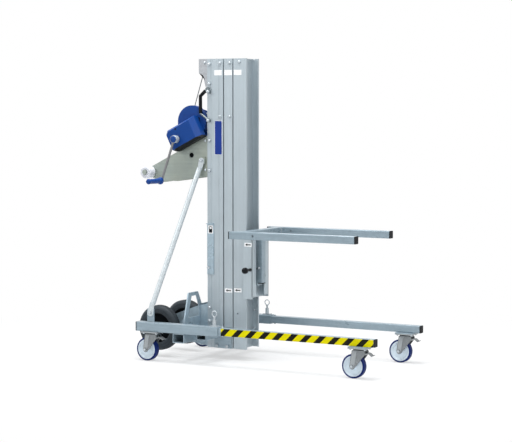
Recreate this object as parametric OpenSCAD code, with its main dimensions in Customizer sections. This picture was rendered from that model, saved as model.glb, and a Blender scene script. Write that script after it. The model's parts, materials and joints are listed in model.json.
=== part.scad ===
// Hand-cranked telescopic material hoist with a fork, outrigger legs and swivel casters.
// The x axis runs from the winch to the fork tips, y across the machine, z up from the floor.
// Inside the modules x is counted from the rear face of the fixed mast section.

/* [Mast] */
// Width across the mast sections
mast_w = 146; // [136:1:160]
// Wall of the mast extrusions
mast_wall = 4; // [3:0.5:5]
// Depth of the fixed rear section
fixed_d = 98; // [90:1:120]
// Depth of the middle section
middle_d = 52; // [46:1:80]
// Depth of the inner front section
inner_d = 78; // [60:1:110]
// Gap between neighbouring sections
section_gap = 6; // [4:0.5:10]
// Depth of the open channel at the back of the fixed section
rear_channel = 26; // [22:1:30]
// Depth of the guide channels at the front of the sections
guide_d = 11; // [8:0.5:14]
// Width of the slot between the guide lips
guide_slot = 80; // [70:1:96]
// Height of the section feet above the floor
mast_foot = 62; // [50:1:75]
// Length of each mast section
mast_len = 1567; // [1540:1:1900]

/* [Base] */
// Distance between the leg centre lines
track = 590; // [520:1:700]
// Side of the square leg tube
leg_size = 40; // [36:1:44]
// Wall of the leg tube
leg_wall = 3; // [2:0.5:4]
// Side of the square sleeve tube
sleeve_size = 50; // [48:1:60]
// How far the sleeves reach behind the mast
sleeve_back = 308; // [290:1:360]
// How far the sleeves reach in front of the mast's rear face
sleeve_front = 204; // [190:1:260]
// How far the legs reach in front of the mast's rear face
leg_reach = 1107; // [1000:1:1300]
// Length of leg that stays inside its sleeve
leg_insert = 244; // [230:1:260]
// Depth of the rear cross bar along x
crossbar_d = 70; // [50:1:90]
// Height of the rear cross bar
crossbar_h = 50; // [40:1:60]
// Wall of the rear cross bar
crossbar_wall = 4; // [3:0.5:6]
// Thickness of the bolted steel plates
plate_t = 4; // [3:0.5:5]
// Top of the loop handles above the floor
handle_top = 367; // [340:1:420]
// Thickness of the handle plate
handle_t = 8; // [6:0.5:10]

/* [Casters] */
// Diameter of the caster wheels
caster_d = 125; // [100:1:130]
// Height of the caster plates above the floor
caster_h = 160; // [155:1:180]
// Offset of the caster axle behind its swivel pin
caster_trail = 32; // [28:1:45]
// Width of the caster treads
tread_w = 36; // [30:1:38]
// Length of the caster plates along x
caster_plate_l = 100; // [90:1:120]
// Width of the caster plates
caster_plate_w = 85; // [75:1:95]
// Front swivel pin behind the leg tip
front_caster_in = 88; // [80:1:140]
// Rear swivel pin in front of the sleeve end
rear_caster_in = 95; // [75:1:110]

/* [Transport wheels] */
// Diameter of the transport wheels
wheel_d = 248; // [220:1:260]
// Width of the transport tyres
wheel_w = 60; // [40:1:70]
// Distance between the wheel mid planes
wheel_track = 280; // [270:1:300]
// Axle behind the mast
wheel_back = 266; // [250:1:280]
// Axle height above the floor
wheel_axle_z = 160; // [150:1:170]
// Radius of the axle in the wheels
wheel_axle_r = 10; // [8:0.5:12]

/* [Winch] */
// Loading-roller axis behind the mast
roller_back = 365; // [350:1:400]
// Loading-roller axis below the mast top
roller_drop = 617; // [600:1:640]
// Radius of the loading rollers
roller_r = 34; // [28:1:38]
// Length of a loading roller
roller_l = 56; // [40:1:70]
// Slope of the winch bracket
winch_tilt = 26.5; // [24:0.5:28]
// Radius of the drum with its wound rope
wrap_r = 44.5; // [36:0.5:48]
// Radius of the round gear-wheel cover
wheel_cover_r = 88; // [78:1:90]
// Length of the crank between its axes
crank_l = 240; // [200:1:270]
// Length of the crank grip
grip_l = 130; // [90:1:140]
// Radius of the hoist rope
rope_r = 2.5; // [2:0.5:3]
// Groove radius of the head pulley
pulley_r = 50; // [44:1:51]

/* [Fork] */
// Side of the square fork tube
fork_size = 40; // [36:1:44]
// Distance between the fork arm centre lines
fork_track = 436; // [380:1:520]
// Length of the fork arms
fork_l = 740; // [600:1:900]
// Top of the fork above the floor
fork_top = 712; // [700:1:760]
// Length of the fork post below the cross tube
post_l = 249; // [220:1:260]
// Width across the carriage cheeks
carriage_w = 186; // [170:1:200]
// Foot of the carriage above the floor
carriage_foot = 340; // [320:1:350]

/* [Hidden] */
$fn = 48;
slide_gap = 0.3;
run_gap = 0.05;
side_gap = 0.5;

// Finishes
aluminium = [0.76, 0.79, 0.81];
zinc = [0.62, 0.69, 0.72];
warm_zinc = [0.68, 0.68, 0.60];
blue = [0.10, 0.22, 0.55];
black = [0.07, 0.07, 0.08];
white = [0.93, 0.94, 0.96];
rope_grey = [0.55, 0.57, 0.58];

// Whole machine
right = -1;
left = 1;
x_rear = -roller_back - roller_r;
x_mid = (x_rear + leg_reach) / 2;

// Mast
fixed_half = mast_w / 2;
slider_half = fixed_half - side_gap;
middle_x = fixed_d + section_gap;
inner_x = middle_x + middle_d + section_gap;
mast_front = inner_x + inner_d;
mast_top = mast_foot + mast_len;
roller_z = mast_top - roller_drop;
front_lip = 12;
front_slot = 2 * (slider_half - front_lip);
front_d = 3 * guide_d;
neck_gap = 6;
channel_y = fixed_half - mast_wall;
plate_y = channel_y - plate_t;

// Bolts along the rear edge of the fixed section
bolt_r = 5;
bolt_hole = bolt_r + run_gap;
bolt_x = rear_channel / 2 + 1;
head_bolt_z = [mast_top - 29, mast_top - 135];
grab_bolt_z = [mast_top - 177, mast_top - 332];
winch_bolt_z = [roller_z + 14, roller_z + 176];
gusset_bolt_z = [206, 279];
edge_bolts = concat(head_bolt_z, grab_bolt_z, winch_bolt_z, gusset_bolt_z);

// Base
leg_z = caster_h + sleeve_size / 2;
leg_y = track / 2;
sleeve_bore = leg_size + 2 * slide_gap;
crossbar_front = -3;
crossbar_x = crossbar_front - crossbar_d;
crossbar_foot = caster_h - crossbar_h;
front_pin_x = leg_reach - front_caster_in;
rear_pin_x = -sleeve_back + rear_caster_in;
cap_t = 5;
tube_r = 4;
corner_steps = 4;
plunger_x = sleeve_front - 33;
plunger_r = 5;
plunger_travel = 12;
sleeve_top = caster_h + sleeve_size;
leg_top = leg_z + leg_size / 2;
handle_x = crossbar_x + (crossbar_d - 40) / 2;
stub_h = 50;
stub_d = 60;
bracket_x = 45;
bracket_l = 105;
bracket_top = sleeve_top - 32;

// Caster heights
caster_r = caster_d / 2;
caster_plate_t = 6;
race_h = 6;
race_foot = caster_h - caster_plate_t - race_h;
yoke_top = race_foot - slide_gap;
yoke_in = 22;
yoke_t = 4;
king_r = 6;
caster_axle_r = 5;
pedal_x = 30;
pedal_pin_r = 4;
pedal_z = yoke_top - 18;

// Winch frame: s runs up the slope, w stands square on it, both from the foot of the slope
end_r = 25;
roller_pin_r = 8;
slope_foot = [-roller_back - end_r * sin(winch_tilt), roller_z + end_r * cos(winch_tilt)];
function on_slope(s, w) = slope_foot
    + s * [cos(winch_tilt), sin(winch_tilt)]
    + w * [-sin(winch_tilt), cos(winch_tilt)];
crank_s = 268;
crank_w = 46;
crank_axis = on_slope(crank_s, crank_w);
drum_s = 362.5;
drum_w = 106;
drum_axis = on_slope(drum_s, drum_w);
crank_turn = -109.5;
crank_tip = crank_axis + crank_l * [cos(crank_turn), sin(crank_turn)];
base_t = 5;
cover_y = 62;
gear_cover_y = 135;
gear_bevel = 22;
gear_back_y = 72;
crank_y = 172;
crank_shaft_r = 9;
drum_shaft_r = 9;
drum_half = 34;
strut_top = [-31, roller_z + 67];
strut_foot = [-224, sleeve_top + 50];
strut_lug_y = 12;
strut_r = 14;
strut_top_y = channel_y + strut_lug_y;
strut_foot_y = leg_y + 6;

// Head pulley and rope
pulley_w = 16;
pulley_x = -6;
pulley_z = mast_top - 61;
pulley_rim = pulley_r + 4;
pulley_pin_r = 8;
rope_gap = 0.3;
drum_run = wrap_r + rope_r + rope_gap;
pulley_run = pulley_r + rope_r + rope_gap;
rope_span = [pulley_x, pulley_z] - drum_axis;
rope_lean = atan2(rope_span.y, rope_span.x) + acos((drum_run - pulley_run) / norm(rope_span));
rope_side = [cos(rope_lean), sin(rope_lean)];
rope_start = drum_axis + drum_run * rope_side;
rope_meet = [pulley_x, pulley_z] + pulley_run * rope_side;

// Grab handles
grab_y = fixed_half + 8;
grab_tab_y = grab_y + 7;
grab_r = 8;
grab_bar_r = 6;
grab_x = -38;
grab_knee = [grab_bolt_z[0] - 23, grab_bolt_z[1] + 38];

// Transport lock lever
lock_x = 10;
lock_z = 498;
lock_pin_r = 5;
lever_t = 4;

// Fork and carriage
carriage_x = mast_front - 7;
carriage_d = 55;
cheek_t = 5;
web_x = mast_front + 6;
web_t = 6;
post_x = 270 + mast_front - 240;
arm_x = post_x - 48;
fork_foot = fork_top - fork_size;
fork_wall = 3;
cross_hole_r = 4.5;
carriage_top = fork_foot - 4;
carriage_half = carriage_w / 2;
post_foot = fork_foot - post_l;
holder_half = fork_size / 2 + slide_gap + 6;
knob_x = post_x + 6;
knob_z = 499;
knob_nut = 12;
knob_r = 6;

// Shapes shared by the pieces

// Extrudes an outline drawn in x and z from y0 over t
module xz(y0, t) {
    translate([0, y0 + t, 0]) rotate([90, 0, 0]) linear_extrude(t) children();
}

// Extrudes an outline drawn in y and z from x0 over t
module yz(x0, t) {
    translate([x0, 0, 0]) rotate([90, 0, 90]) linear_extrude(t) children();
}

// Rod across the machine at [x, z] from y0 to y1
module y_rod(at, r, y0, y1) {
    translate([at.x, y0, at.y]) rotate([-90, 0, 0]) cylinder(r = r, h = y1 - y0);
}

// Rod between two points
module rod(from, to, r) {
    run = to - from;
    translate(from) rotate([0, acos(run.z / norm(run)), atan2(run.y, run.x)]) cylinder(r = r, h = norm(run));
}

// The same piece on the right and on the left
module both_sides() {
    children();
    mirror([0, 1, 0]) children();
}

function edge_point(centre, r, angle) = centre + r * [cos(angle), sin(angle)];

// Outline of a belt round two circles
module link(a, ra, b, rb) {
    run = b - a;
    heading = atan2(run.y, run.x);
    spread = acos((ra - rb) / norm(run));
    translate(a) circle(ra);
    translate(b) circle(rb);
    polygon([
        edge_point(a, ra, heading - spread), edge_point(b, rb, heading - spread),
        edge_point(b, rb, heading + spread), edge_point(a, ra, heading + spread)
    ]);
}

// Box given by its lowest and highest corners
module block(low, high) {
    translate(low) cube(high - low);
}

// Points of a tube's outline with rounded corners
function rounded(w, h) = [
    for (corner = [0 : 3], i = [0 : corner_steps])
        let (
            turn = 90 * (corner + i / corner_steps),
            x_side = corner == 0 || corner == 3 ? 1 : -1,
            y_side = corner < 2 ? 1 : -1
        )
        [x_side * (w / 2 - tube_r), y_side * (h / 2 - tube_r)] + tube_r * [cos(turn), sin(turn)]
];

// Square bar along x with rounded edges, centred on the x axis
module x_bar(x0, x1, size) {
    yz(x0, x1 - x0) polygon(rounded(size, size));
}

// Square tube along x round the leg line
module leg_tube(x0, x1, size, bore) {
    translate([0, 0, leg_z]) difference() {
        x_bar(x0, x1, size);
        block([x0 - 1, -bore / 2, -bore / 2], [x1 + 1, bore / 2, bore / 2]);
    }
}

// Winch pieces are drawn on the slope
module on_winch() {
    translate([slope_foot.x, 0, slope_foot.y]) rotate([0, -winch_tilt, 0]) children();
}

// Mast

// Side walls, front lips and guide web of one section, as a plan outline
module section_outline(x0, depth, half, slot, channel) {
    lip = x0 + depth - mast_wall;
    for (side = [right, left]) {
        translate([x0, side > 0 ? half - mast_wall : -half]) square([depth, mast_wall]);
        translate([lip, side > 0 ? slot / 2 : -half]) square([mast_wall, half - slot / 2]);
    }
    translate([lip - channel - mast_wall, -half]) square([mast_wall, 2 * half]);
}

// Rail at the back of a section that runs in the guide channel of the section behind
module rail_outline(lip, half, slot, reach) {
    rail_half = half - mast_wall - slide_gap;
    neck = slot / 2 - neck_gap;
    translate([lip - guide_d + slide_gap, -rail_half]) square([guide_d - 2 * slide_gap, 2 * rail_half]);
    translate([lip - 1, -neck]) square([reach - lip + 1, 2 * neck]);
}

module web_outline(x, half) {
    translate([x, -half]) square([mast_wall, 2 * half]);
}

module raise_section() {
    translate([0, 0, mast_foot]) linear_extrude(mast_len) children();
}

// Low dome heads on both sides of a sliding section
module section_rivets(x, heights) {
    rivet_r = 5;
    rivet_h = 2.5;
    for (z = heights) {
        both_sides() y_rod([x, z], rivet_r, -slider_half - rivet_h, -slider_half + 1);
    }
}

module mast_fixed_section() {
    groove = 1.2;
    color(aluminium) difference() {
        raise_section() difference() {
            union() {
                section_outline(0, fixed_d, fixed_half, guide_slot, guide_d);
                web_outline(rear_channel, fixed_half);
            }
            for (x = [rear_channel - 3, fixed_d - 26]) {
                translate([x, -fixed_half - 1]) square([2, groove + 1]);
                translate([x, fixed_half - groove]) square([2, groove + 1]);
            }
        }
        for (z = edge_bolts) {
            y_rod([bolt_x, z], bolt_hole, -fixed_half - 1, fixed_half + 1);
        }
        y_rod([lock_x, lock_z], lock_pin_r + run_gap, -fixed_half - 1, -channel_y + 1);
        block([rear_channel - 1, -pulley_w / 2 - 5, pulley_z - pulley_rim - 8],
              [rear_channel + mast_wall + 1, pulley_w / 2 + 5, mast_top + 1]);
    }
}

module mast_middle_section() {
    rivet_x = middle_x + middle_d * 2 / 3;
    color(aluminium) {
        raise_section() {
            section_outline(middle_x, middle_d, slider_half, guide_slot, guide_d);
            web_outline(middle_x, slider_half);
            rail_outline(fixed_d - mast_wall, fixed_half, guide_slot, middle_x + 1);
        }
        section_rivets(rivet_x, [mast_top - 24, mast_top - 310]);
    }
}

module mast_inner_section() {
    rivet_x = inner_x + inner_d / 2;
    guide_web = mast_front - 2 * mast_wall - front_d;
    dot_r = 4;
    cord_slot = 8;
    color(aluminium) difference() {
        union() {
            raise_section() difference() {
                union() {
                    section_outline(inner_x, inner_d, slider_half, front_slot, front_d);
                    web_outline(inner_x, slider_half);
                    rail_outline(middle_x + middle_d - mast_wall, slider_half, guide_slot, inner_x + 1);
                }
                translate([guide_web - 1, -cord_slot / 2]) square([mast_wall + 2, cord_slot]);
            }
            section_rivets(rivet_x, [mast_top - 19]);
        }
        y_rod([inner_x + inner_d / 3, mast_foot + 193], dot_r,
              -slider_half - 1, -slider_half + mast_wall + 1);
    }
}

// Base frame

module sleeve(side) {
    lug_t = 6;
    lug_half = 22;
    difference() {
        union() {
            translate([0, side * leg_y, 0])
                leg_tube(-sleeve_back + cap_t, sleeve_front, sleeve_size, sleeve_bore);
            if (side == right) {
                xz(-strut_foot_y, lug_t) translate([strut_foot.x - lug_half, sleeve_top - 1])
                    square([2 * lug_half, strut_foot.y - sleeve_top + 24]);
            }
        }
        translate([plunger_x, side * leg_y, leg_z]) cylinder(r = plunger_r + 0.5, h = sleeve_size);
        y_rod(strut_foot, bolt_hole, -strut_foot_y - 1, -strut_foot_y + lug_t + 1);
    }
}

module right_sleeve() { color(zinc) sleeve(right); }
module left_sleeve() { color(zinc) sleeve(left); }

module sleeve_caps() {
    plug = 14;
    plug_half = sleeve_bore / 2 - slide_gap;
    color(black) both_sides() translate([-sleeve_back, leg_y, leg_z]) {
        x_bar(0, cap_t, sleeve_size);
        block([0, -plug_half, -plug_half], [cap_t + plug, plug_half, plug_half]);
    }
}

module rear_crossbar() {
    reach = leg_y + sleeve_size / 2;
    color(zinc) difference() {
        xz(-reach, 2 * reach) translate([crossbar_x + crossbar_d / 2, crossbar_foot + crossbar_h / 2])
            polygon(rounded(crossbar_d, crossbar_h));
        block([crossbar_x + crossbar_wall, -reach - 1, crossbar_foot + crossbar_wall],
              [crossbar_front - crossbar_wall, reach + 1, caster_h - crossbar_wall]);
    }
}

// Upright plate on the cross bar with a loop handle at each side
module handle_plate() {
    shoulder = handle_top - 70;
    bar = 20;
    opening_foot = caster_h + 72;
    slot_top = gusset_top(handle_x) + 5;
    color(zinc) difference() {
        yz(handle_x, handle_t) for (side = [right, left]) {
            difference() {
                polygon(mirrored(side, [
                    [0, caster_h], [0, shoulder], [-52, shoulder], [-88, handle_top - 4], [-94, handle_top],
                    [-183, handle_top], [-190, handle_top - 4], [-231, caster_h + 69], [-236, caster_h]
                ]));
                polygon(mirrored(side, [
                    [-77, opening_foot], [-78, shoulder - 9], [-105, handle_top - bar],
                    [-158, handle_top - bar],
                    [-198, opening_foot]
                ]));
            }
        }
        both_sides() block([handle_x - 1, -channel_y - slide_gap, caster_h - 1],
                           [handle_x + handle_t + 1, -plate_y + slide_gap, slot_top]);
    }
}

// An outline drawn for the right side, or its mirror image for the left side
function mirrored(side, points) = side == right
    ? points
    : [for (i = [len(points) - 1 : -1 : 0]) [-points[i].x, points[i].y]];

function gusset_top(x) = 235 + (x + 198) * 0.37;

// Plates that hold the wheel axle and bolt into the mast channel
module axle_gussets() {
    front = rear_channel - 4;
    boss = 30;
    color(zinc) both_sides() difference() {
        xz(-channel_y, plate_t) difference() {
            union() {
                translate([-wheel_back, wheel_axle_z]) circle(boss);
                polygon([[-wheel_back - 20, wheel_axle_z + 22], [-198, gusset_top(-198)],
                         [handle_x, gusset_top(handle_x)], [-4, 300], [front, 300], [front, mast_foot + 8],
                         [0, mast_foot + 6], [-140, 88], [-wheel_back - 6, wheel_axle_z - boss + 1]]);
            }
            translate([crossbar_x - slide_gap, crossbar_foot - slide_gap])
                square([crossbar_d + 2 * slide_gap, crossbar_h + 2 * slide_gap]);
            translate([-wheel_back, wheel_axle_z]) circle(wheel_axle_r + run_gap);
            translate([-150, 180]) circle(24);
        }
        for (z = gusset_bolt_z) {
            y_rod([bolt_x, z], bolt_hole, -channel_y - 1, -plate_y + 1);
        }
    }
}

module wheel_axle() {
    reach = wheel_track / 2 + wheel_w / 2;
    at = [-wheel_back, wheel_axle_z];
    color(zinc) {
        y_rod(at, wheel_axle_r, -reach - 14, reach + 14);
        both_sides() {
            y_rod(at, wheel_axle_r + 6, -reach + wheel_w + slide_gap, -channel_y);
            y_rod(at, wheel_axle_r + 5, -reach - 4, -reach - slide_gap);
            y_rod(at, wheel_axle_r + 3, -reach - 12, -reach - 4);
        }
    }
}

// Stubs from the sleeves to plates on the mast sides
module mast_side_brackets() {
    inner = leg_y - sleeve_size / 2;
    wall = 4;
    stub_foot = bracket_top - stub_h;
    side_t = plate_t + 1;
    color(zinc) both_sides() {
        block([bracket_x, -fixed_half - side_t, mast_foot],
              [bracket_x + bracket_l, -fixed_half, bracket_top]);
        difference() {
            block([bracket_x, -inner, stub_foot], [bracket_x + stub_d, -fixed_half - 1, bracket_top]);
            block([bracket_x + wall, -inner - 1, stub_foot + wall],
                  [bracket_x + stub_d - wall, -fixed_half - side_t, bracket_top - wall]);
        }
        for (x = [bracket_x + 18, bracket_x + bracket_l - 24]) {
            y_rod([x, mast_foot + 12], bolt_r + 4, -fixed_half - side_t - 4, -fixed_half - 1);
        }
    }
}

// Tube from the winch bracket to the right sleeve, with flattened ends
module rear_strut() {
    tab_t = 4;
    tube_from = [strut_top.x - 9, -strut_top_y - tab_t / 2 - 7, strut_top.y - 40];
    tube_to = [strut_foot.x + 11, -strut_foot_y - tab_t / 2 + 7, strut_foot.y + 48];
    color(zinc) difference() {
        union() {
            rod(tube_from, tube_to, strut_r);
            xz(-strut_top_y - tab_t, tab_t) link(strut_top, 16, [tube_from.x, tube_from.z], strut_r);
            xz(-strut_foot_y - tab_t, tab_t) link(strut_foot, 18, [tube_to.x, tube_to.z], strut_r);
        }
        y_rod(strut_top, bolt_hole, -strut_top_y - tab_t - 1, -strut_top_y + 1);
        y_rod(strut_foot, bolt_hole, -strut_foot_y - tab_t - 1, -strut_foot_y + 1);
    }
}

// Winch

module winch_bracket() {
    front = rear_channel - 4;
    slope_top = on_slope(396, 0);
    sheet_hole = 14;
    lug_half = 18;
    lip_from = 150;
    lip_to = 396;
    roller_axis = [-roller_back, roller_z];
    bolt_reach = channel_y + roller_l + 12;
    color(warm_zinc) difference() {
        union() {
            both_sides() {
                xz(-channel_y, plate_t) difference() {
                    union() {
                        translate(roller_axis) circle(end_r);
                        polygon([slope_foot, slope_top, [front, slope_top.y + 4], [front, roller_z - 18],
                                 [-20, roller_z - 20], [-270, roller_z - 54], [-292, roller_z - 54],
                                 edge_point(roller_axis, end_r, -122), roller_axis]);
                    }
                    translate([-roller_back + 263, roller_z + 96]) circle(sheet_hole);
                }
                y_rod(roller_axis, 13, -bolt_reach, -bolt_reach + 7);
                y_rod(roller_axis, 12, -channel_y - 2, -channel_y);
            }
            on_winch() block([lip_from, -plate_y - 1, -plate_t], [lip_to - 4, plate_y + 1, 0]);
            y_rod(roller_axis, roller_pin_r, -bolt_reach, bolt_reach);
            block([strut_top.x - lug_half, -strut_top_y, strut_top.y - lug_half],
                  [strut_top.x + lug_half, -channel_y, strut_top.y + lug_half]);
        }
        for (z = winch_bolt_z) {
            y_rod([bolt_x, z], bolt_hole, -channel_y - 1, channel_y + 1);
        }
        y_rod(strut_top, bolt_hole, -strut_top_y - 1, -plate_y + 1);
    }
}

// Base plate and the side plates that carry the drum
module winch_frame() {
    cheek = 5;
    inner = drum_half + 4;
    on_from = 230;
    on_to = 408;
    cheek_r = 66;
    color(blue) difference() {
        union() {
            on_winch() block([on_from, -cover_y + 1, 0], [on_to, cover_y - 1, base_t]);
            for (side = [right, left]) {
                xz(side * (inner + cheek / 2) - cheek / 2, cheek) {
                    link(drum_axis, cheek_r, on_slope(drum_s - 90, 14), 13);
                    link(drum_axis, cheek_r, on_slope(drum_s + 26, 14), 13);
                }
            }
        }
        y_rod(drum_axis, drum_shaft_r + run_gap, -cover_y, cover_y);
    }
}

// Round housing over the gear wheel, beside the drum on the crank side
module winch_wheel_cover() {
    near = gear_back_y;
    far = drum_half + 9;
    flank = on_slope(drum_s - 100, 40);
    color(blue) difference() {
        xz(-near, near - far) union() {
            link(drum_axis, wheel_cover_r, flank, 26);
            link(drum_axis, wheel_cover_r - 6, on_slope(drum_s + 12, 60), 40);
        }
        on_winch() block([0, -near - 1, -200], [600, 0, base_t + slide_gap]);
    }
}

// Gear housing on the crank side, with bevelled edges
module winch_gear_cover() {
    low = [206, -8];
    high = [409, 119];
    corner = 18;
    color(blue) difference() {
        on_winch() union() {
            difference() {
                block([low.x, -gear_cover_y + gear_bevel, low.y], [high.x, -gear_back_y, high.y]);
                gear_corner(low.x, high.y, corner);
                gear_corner(low.x, low.y, corner);
            }
            gear_cover_face(low, high, corner);
        }
        on_winch() block([0, -channel_y - slide_gap, -50], [600, 0, base_t + slide_gap]);
        y_rod(crank_axis, crank_shaft_r + run_gap, -gear_cover_y - 1, -gear_back_y - 4);
    }
}

// Square bar across the corner of the gear cover that leaves a bevel
module gear_corner(s, w, size) {
    translate([s, 0, w]) rotate([0, 45, 0])
        cube([size * sqrt(2), 4 * gear_cover_y, size * sqrt(2)], center = true);
}

// Sloping rim between the face and the walls of the gear cover
module gear_cover_face(low, high, corner) {
    inset = 12;
    hull() {
        on_face(-gear_cover_y + gear_bevel, low, high, corner, 0, 0);
        on_face(-gear_cover_y, low, high, corner, inset, 30);
    }
}

// Thin outline of the gear cover at depth y, drawn in by inset and at its upper end by end_inset
module on_face(y, low, high, corner, inset, end_inset) {
    x0 = low.x + inset;
    x1 = high.x - max(inset, end_inset);
    z0 = low.y + inset;
    z1 = high.y - inset;
    xz(y, 0.5) polygon([
        [x0 + corner, z0], [x1, z0], [x1, z1], [x0 + corner, z1], [x0, z1 - corner], [x0, z0 + corner]
    ]);
}

module rope_drum() {
    flange = 5;
    color(rope_grey) {
        y_rod(drum_axis, wrap_r, -drum_half + flange, drum_half - flange);
        both_sides() y_rod(drum_axis, wrap_r + 13, -drum_half, -drum_half + flange);
        y_rod(drum_axis, drum_shaft_r, -drum_half - 9, drum_half + 9);
    }
}

module crank() {
    arm_r = 6.5;
    arm_y = -crank_y + 10;
    hub_r = 20;
    tip = [crank_tip.x, crank_tip.y];
    color(rope_grey) {
        y_rod(crank_axis, crank_shaft_r, -crank_y, -gear_back_y - 5);
        y_rod(crank_axis, hub_r, -crank_y, -gear_cover_y - 1);
        rod([crank_axis.x, arm_y, crank_axis.y], [tip.x, arm_y, tip.y], arm_r);
        translate([tip.x, arm_y, tip.y]) sphere(r = arm_r + 1.5);
        y_rod(tip, 6, arm_y - grip_l - 8, arm_y);
        y_rod(tip, 9, arm_y - grip_l - 12, arm_y - grip_l - 8);
    }
}

// Hand grip that turns on the crank's pin
module crank_grip() {
    near = -crank_y + 10 - 9;
    color(blue) difference() {
        translate([crank_tip.x, near, crank_tip.y]) rotate([90, 0, 0]) rotate_extrude()
            polygon([[0, 0], [19, 0], [20, 6], [18, 14], [14, 22], [13.5, grip_l - 16], [15, grip_l - 6],
                     [12, grip_l - 2], [0, grip_l - 2]]);
        y_rod(crank_tip, 6 + run_gap, near - grip_l, near + 1);
    }
}

module roller(side) {
    inner = channel_y + 2 + slide_gap;
    bore = roller_pin_r + run_gap;
    profile = [
        [bore, 0], [roller_r - 5, 0], [roller_r, 5], [roller_r, roller_l - 6],
        [roller_r - 6, roller_l], [16, roller_l], [14, roller_l - 3], [bore, roller_l - 3]
    ];
    color(white) translate([-roller_back, side * inner, roller_z])
        rotate([-90 * side, 0, 0]) rotate_extrude() polygon(profile);
}

module right_roller() { roller(right); }
module left_roller() { roller(left); }

// Mast head

module head_bracket() {
    front = rear_channel - 4;
    rear = -55;
    color(warm_zinc) {
        both_sides() difference() {
            xz(-channel_y, plate_t) polygon([
                [rear, mast_top], [rear, mast_top - 66], [-14, mast_top - 117],
                [0, mast_top - 150], [front, mast_top - 150], [front, mast_top]
            ]);
            for (z = head_bolt_z) {
                y_rod([bolt_x, z], bolt_hole, -channel_y - 1, -plate_y + 1);
            }
        }
        block([rear, -plate_y - 1, mast_top - 4], [-2, plate_y + 1, mast_top]);
        y_rod([pulley_x, pulley_z], pulley_pin_r, -plate_y - 1, plate_y + 1);
        both_sides() y_rod([pulley_x, pulley_z], pulley_pin_r + 4, -plate_y - 1, -pulley_w / 2 - slide_gap);
    }
}

module head_pulley() {
    half = pulley_w / 2;
    bore = pulley_pin_r + run_gap;
    color(black) translate([pulley_x, 0, pulley_z]) rotate([90, 0, 0]) rotate_extrude() polygon([
        [bore, -half], [pulley_rim, -half], [pulley_rim, -half + 2], [pulley_r, -rope_r], [pulley_r, rope_r],
        [pulley_rim, half - 2], [pulley_rim, half], [bore, half]
    ]);
}

// Rope from the drum over the head pulley and down inside the fixed section
module hoist_rope() {
    down_x = pulley_x + pulley_run;
    rope_foot = mast_foot + 40;
    color(rope_grey) {
        rod([rope_start.x, 0, rope_start.y],
            [rope_meet.x, 0, rope_meet.y] + [rope_side.y, 0, -rope_side.x], rope_r);
        translate([pulley_x, 0, pulley_z]) rotate([90, 0, 0]) rotate_extrude(angle = rope_lean)
            translate([pulley_run, 0]) circle(rope_r + 0.1);
        translate([down_x, 0, rope_foot]) cylinder(r = rope_r, h = pulley_z - rope_foot + 1);
    }
}

// Grab handles

grab_bolts = [[bolt_x, grab_bolt_z[0]], [bolt_x, grab_bolt_z[1]]];
grab_ends = [grab_bolts[0] + [-8, 16], grab_bolts[1] + [-2, 2]];
grab_path = [grab_ends[0], [grab_x, grab_knee[0]], [grab_x, grab_knee[1]], grab_ends[1]];

function beside_mast(at) = [at.x, -grab_y, at.y];

module grab_handle_bars() {
    tab = 10;
    color(zinc) both_sides() difference() {
        union() {
            for (i = [0 : 2]) {
                rod(beside_mast(grab_path[i]), beside_mast(grab_path[i + 1]), grab_bar_r);
            }
            for (i = [1, 2]) {
                translate(beside_mast(grab_path[i])) sphere(r = grab_bar_r + 0.4);
            }
            for (i = [0, 1]) {
                xz(-grab_tab_y, grab_tab_y - fixed_half) link(grab_ends[i], tab - 1, grab_bolts[i], tab);
            }
        }
        for (at = grab_bolts) {
            y_rod(at, bolt_hole, -grab_tab_y - 1, -fixed_half + 1);
        }
    }
}

// Soft sleeves over the upper two thirds of the grab handles
module grab_handle_grips() {
    sleeve_from = grab_path[0] + (grab_path[1] - grab_path[0]) * 0.32;
    sleeve_to = grab_path[2] + [0, 8];
    color(black) both_sides() difference() {
        grip_run([sleeve_from, grab_path[1], sleeve_to], grab_r);
        grip_run(grab_path, grab_bar_r + run_gap);
    }
}

module grip_run(path, r) {
    for (i = [0 : len(path) - 2]) {
        rod(beside_mast(path[i]), beside_mast(path[i + 1]), r);
    }
    for (i = [1 : len(path) - 2]) {
        translate(beside_mast(path[i])) sphere(r = r + 0.4);
    }
}

// Round-headed bolt along +y with its head at -y and a nut at the other end
module bolt(at, head_y, nut_y) {
    y_rod(at, bolt_r, head_y, nut_y + 5);
    y_rod(at, bolt_r + 4, head_y - 4, head_y);
    y_rod(at, bolt_r + 2.5, head_y - 6, head_y - 4);
    y_rod(at, bolt_r + 4, nut_y, nut_y + 5);
}

module frame_bolts() {
    color(zinc) {
        both_sides() {
            for (z = concat(head_bolt_z, winch_bolt_z, gusset_bolt_z)) {
                bolt([bolt_x, z], -fixed_half, -plate_y);
            }
            for (at = grab_bolts) {
                bolt(at, -grab_tab_y, -channel_y);
            }
        }
        y_rod([lock_x, lock_z], lock_pin_r, -fixed_half - lever_t - 1, -channel_y + 5);
        y_rod([lock_x, lock_z], lock_pin_r + 3, -fixed_half - lever_t - 6, -fixed_half - lever_t - 1);
        y_rod([lock_x, lock_z], lock_pin_r + 3, -channel_y, -channel_y + 5);
        bolt(strut_top, -strut_top_y - 4, -plate_y);
        bolt(strut_foot, -strut_foot_y - 4, -strut_foot_y + 6);
    }
}

// Transport lock lever on the right side of the fixed section
module lock_lever() {
    width = 41;
    top = lock_z + 241;
    foot = lock_z - 37;
    tab = 12;
    y0 = -fixed_half - slide_gap - lever_t;
    color(zinc) {
        difference() {
            xz(y0, lever_t) translate([0, foot]) square([width, top - foot]);
            y_rod([lock_x, lock_z], lock_pin_r + run_gap, y0 - 1, y0 + lever_t + 1);
        }
        block([0, y0 - tab, top - lever_t], [width, y0 + 1, top]);
    }
}

// Leg sockets

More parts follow.
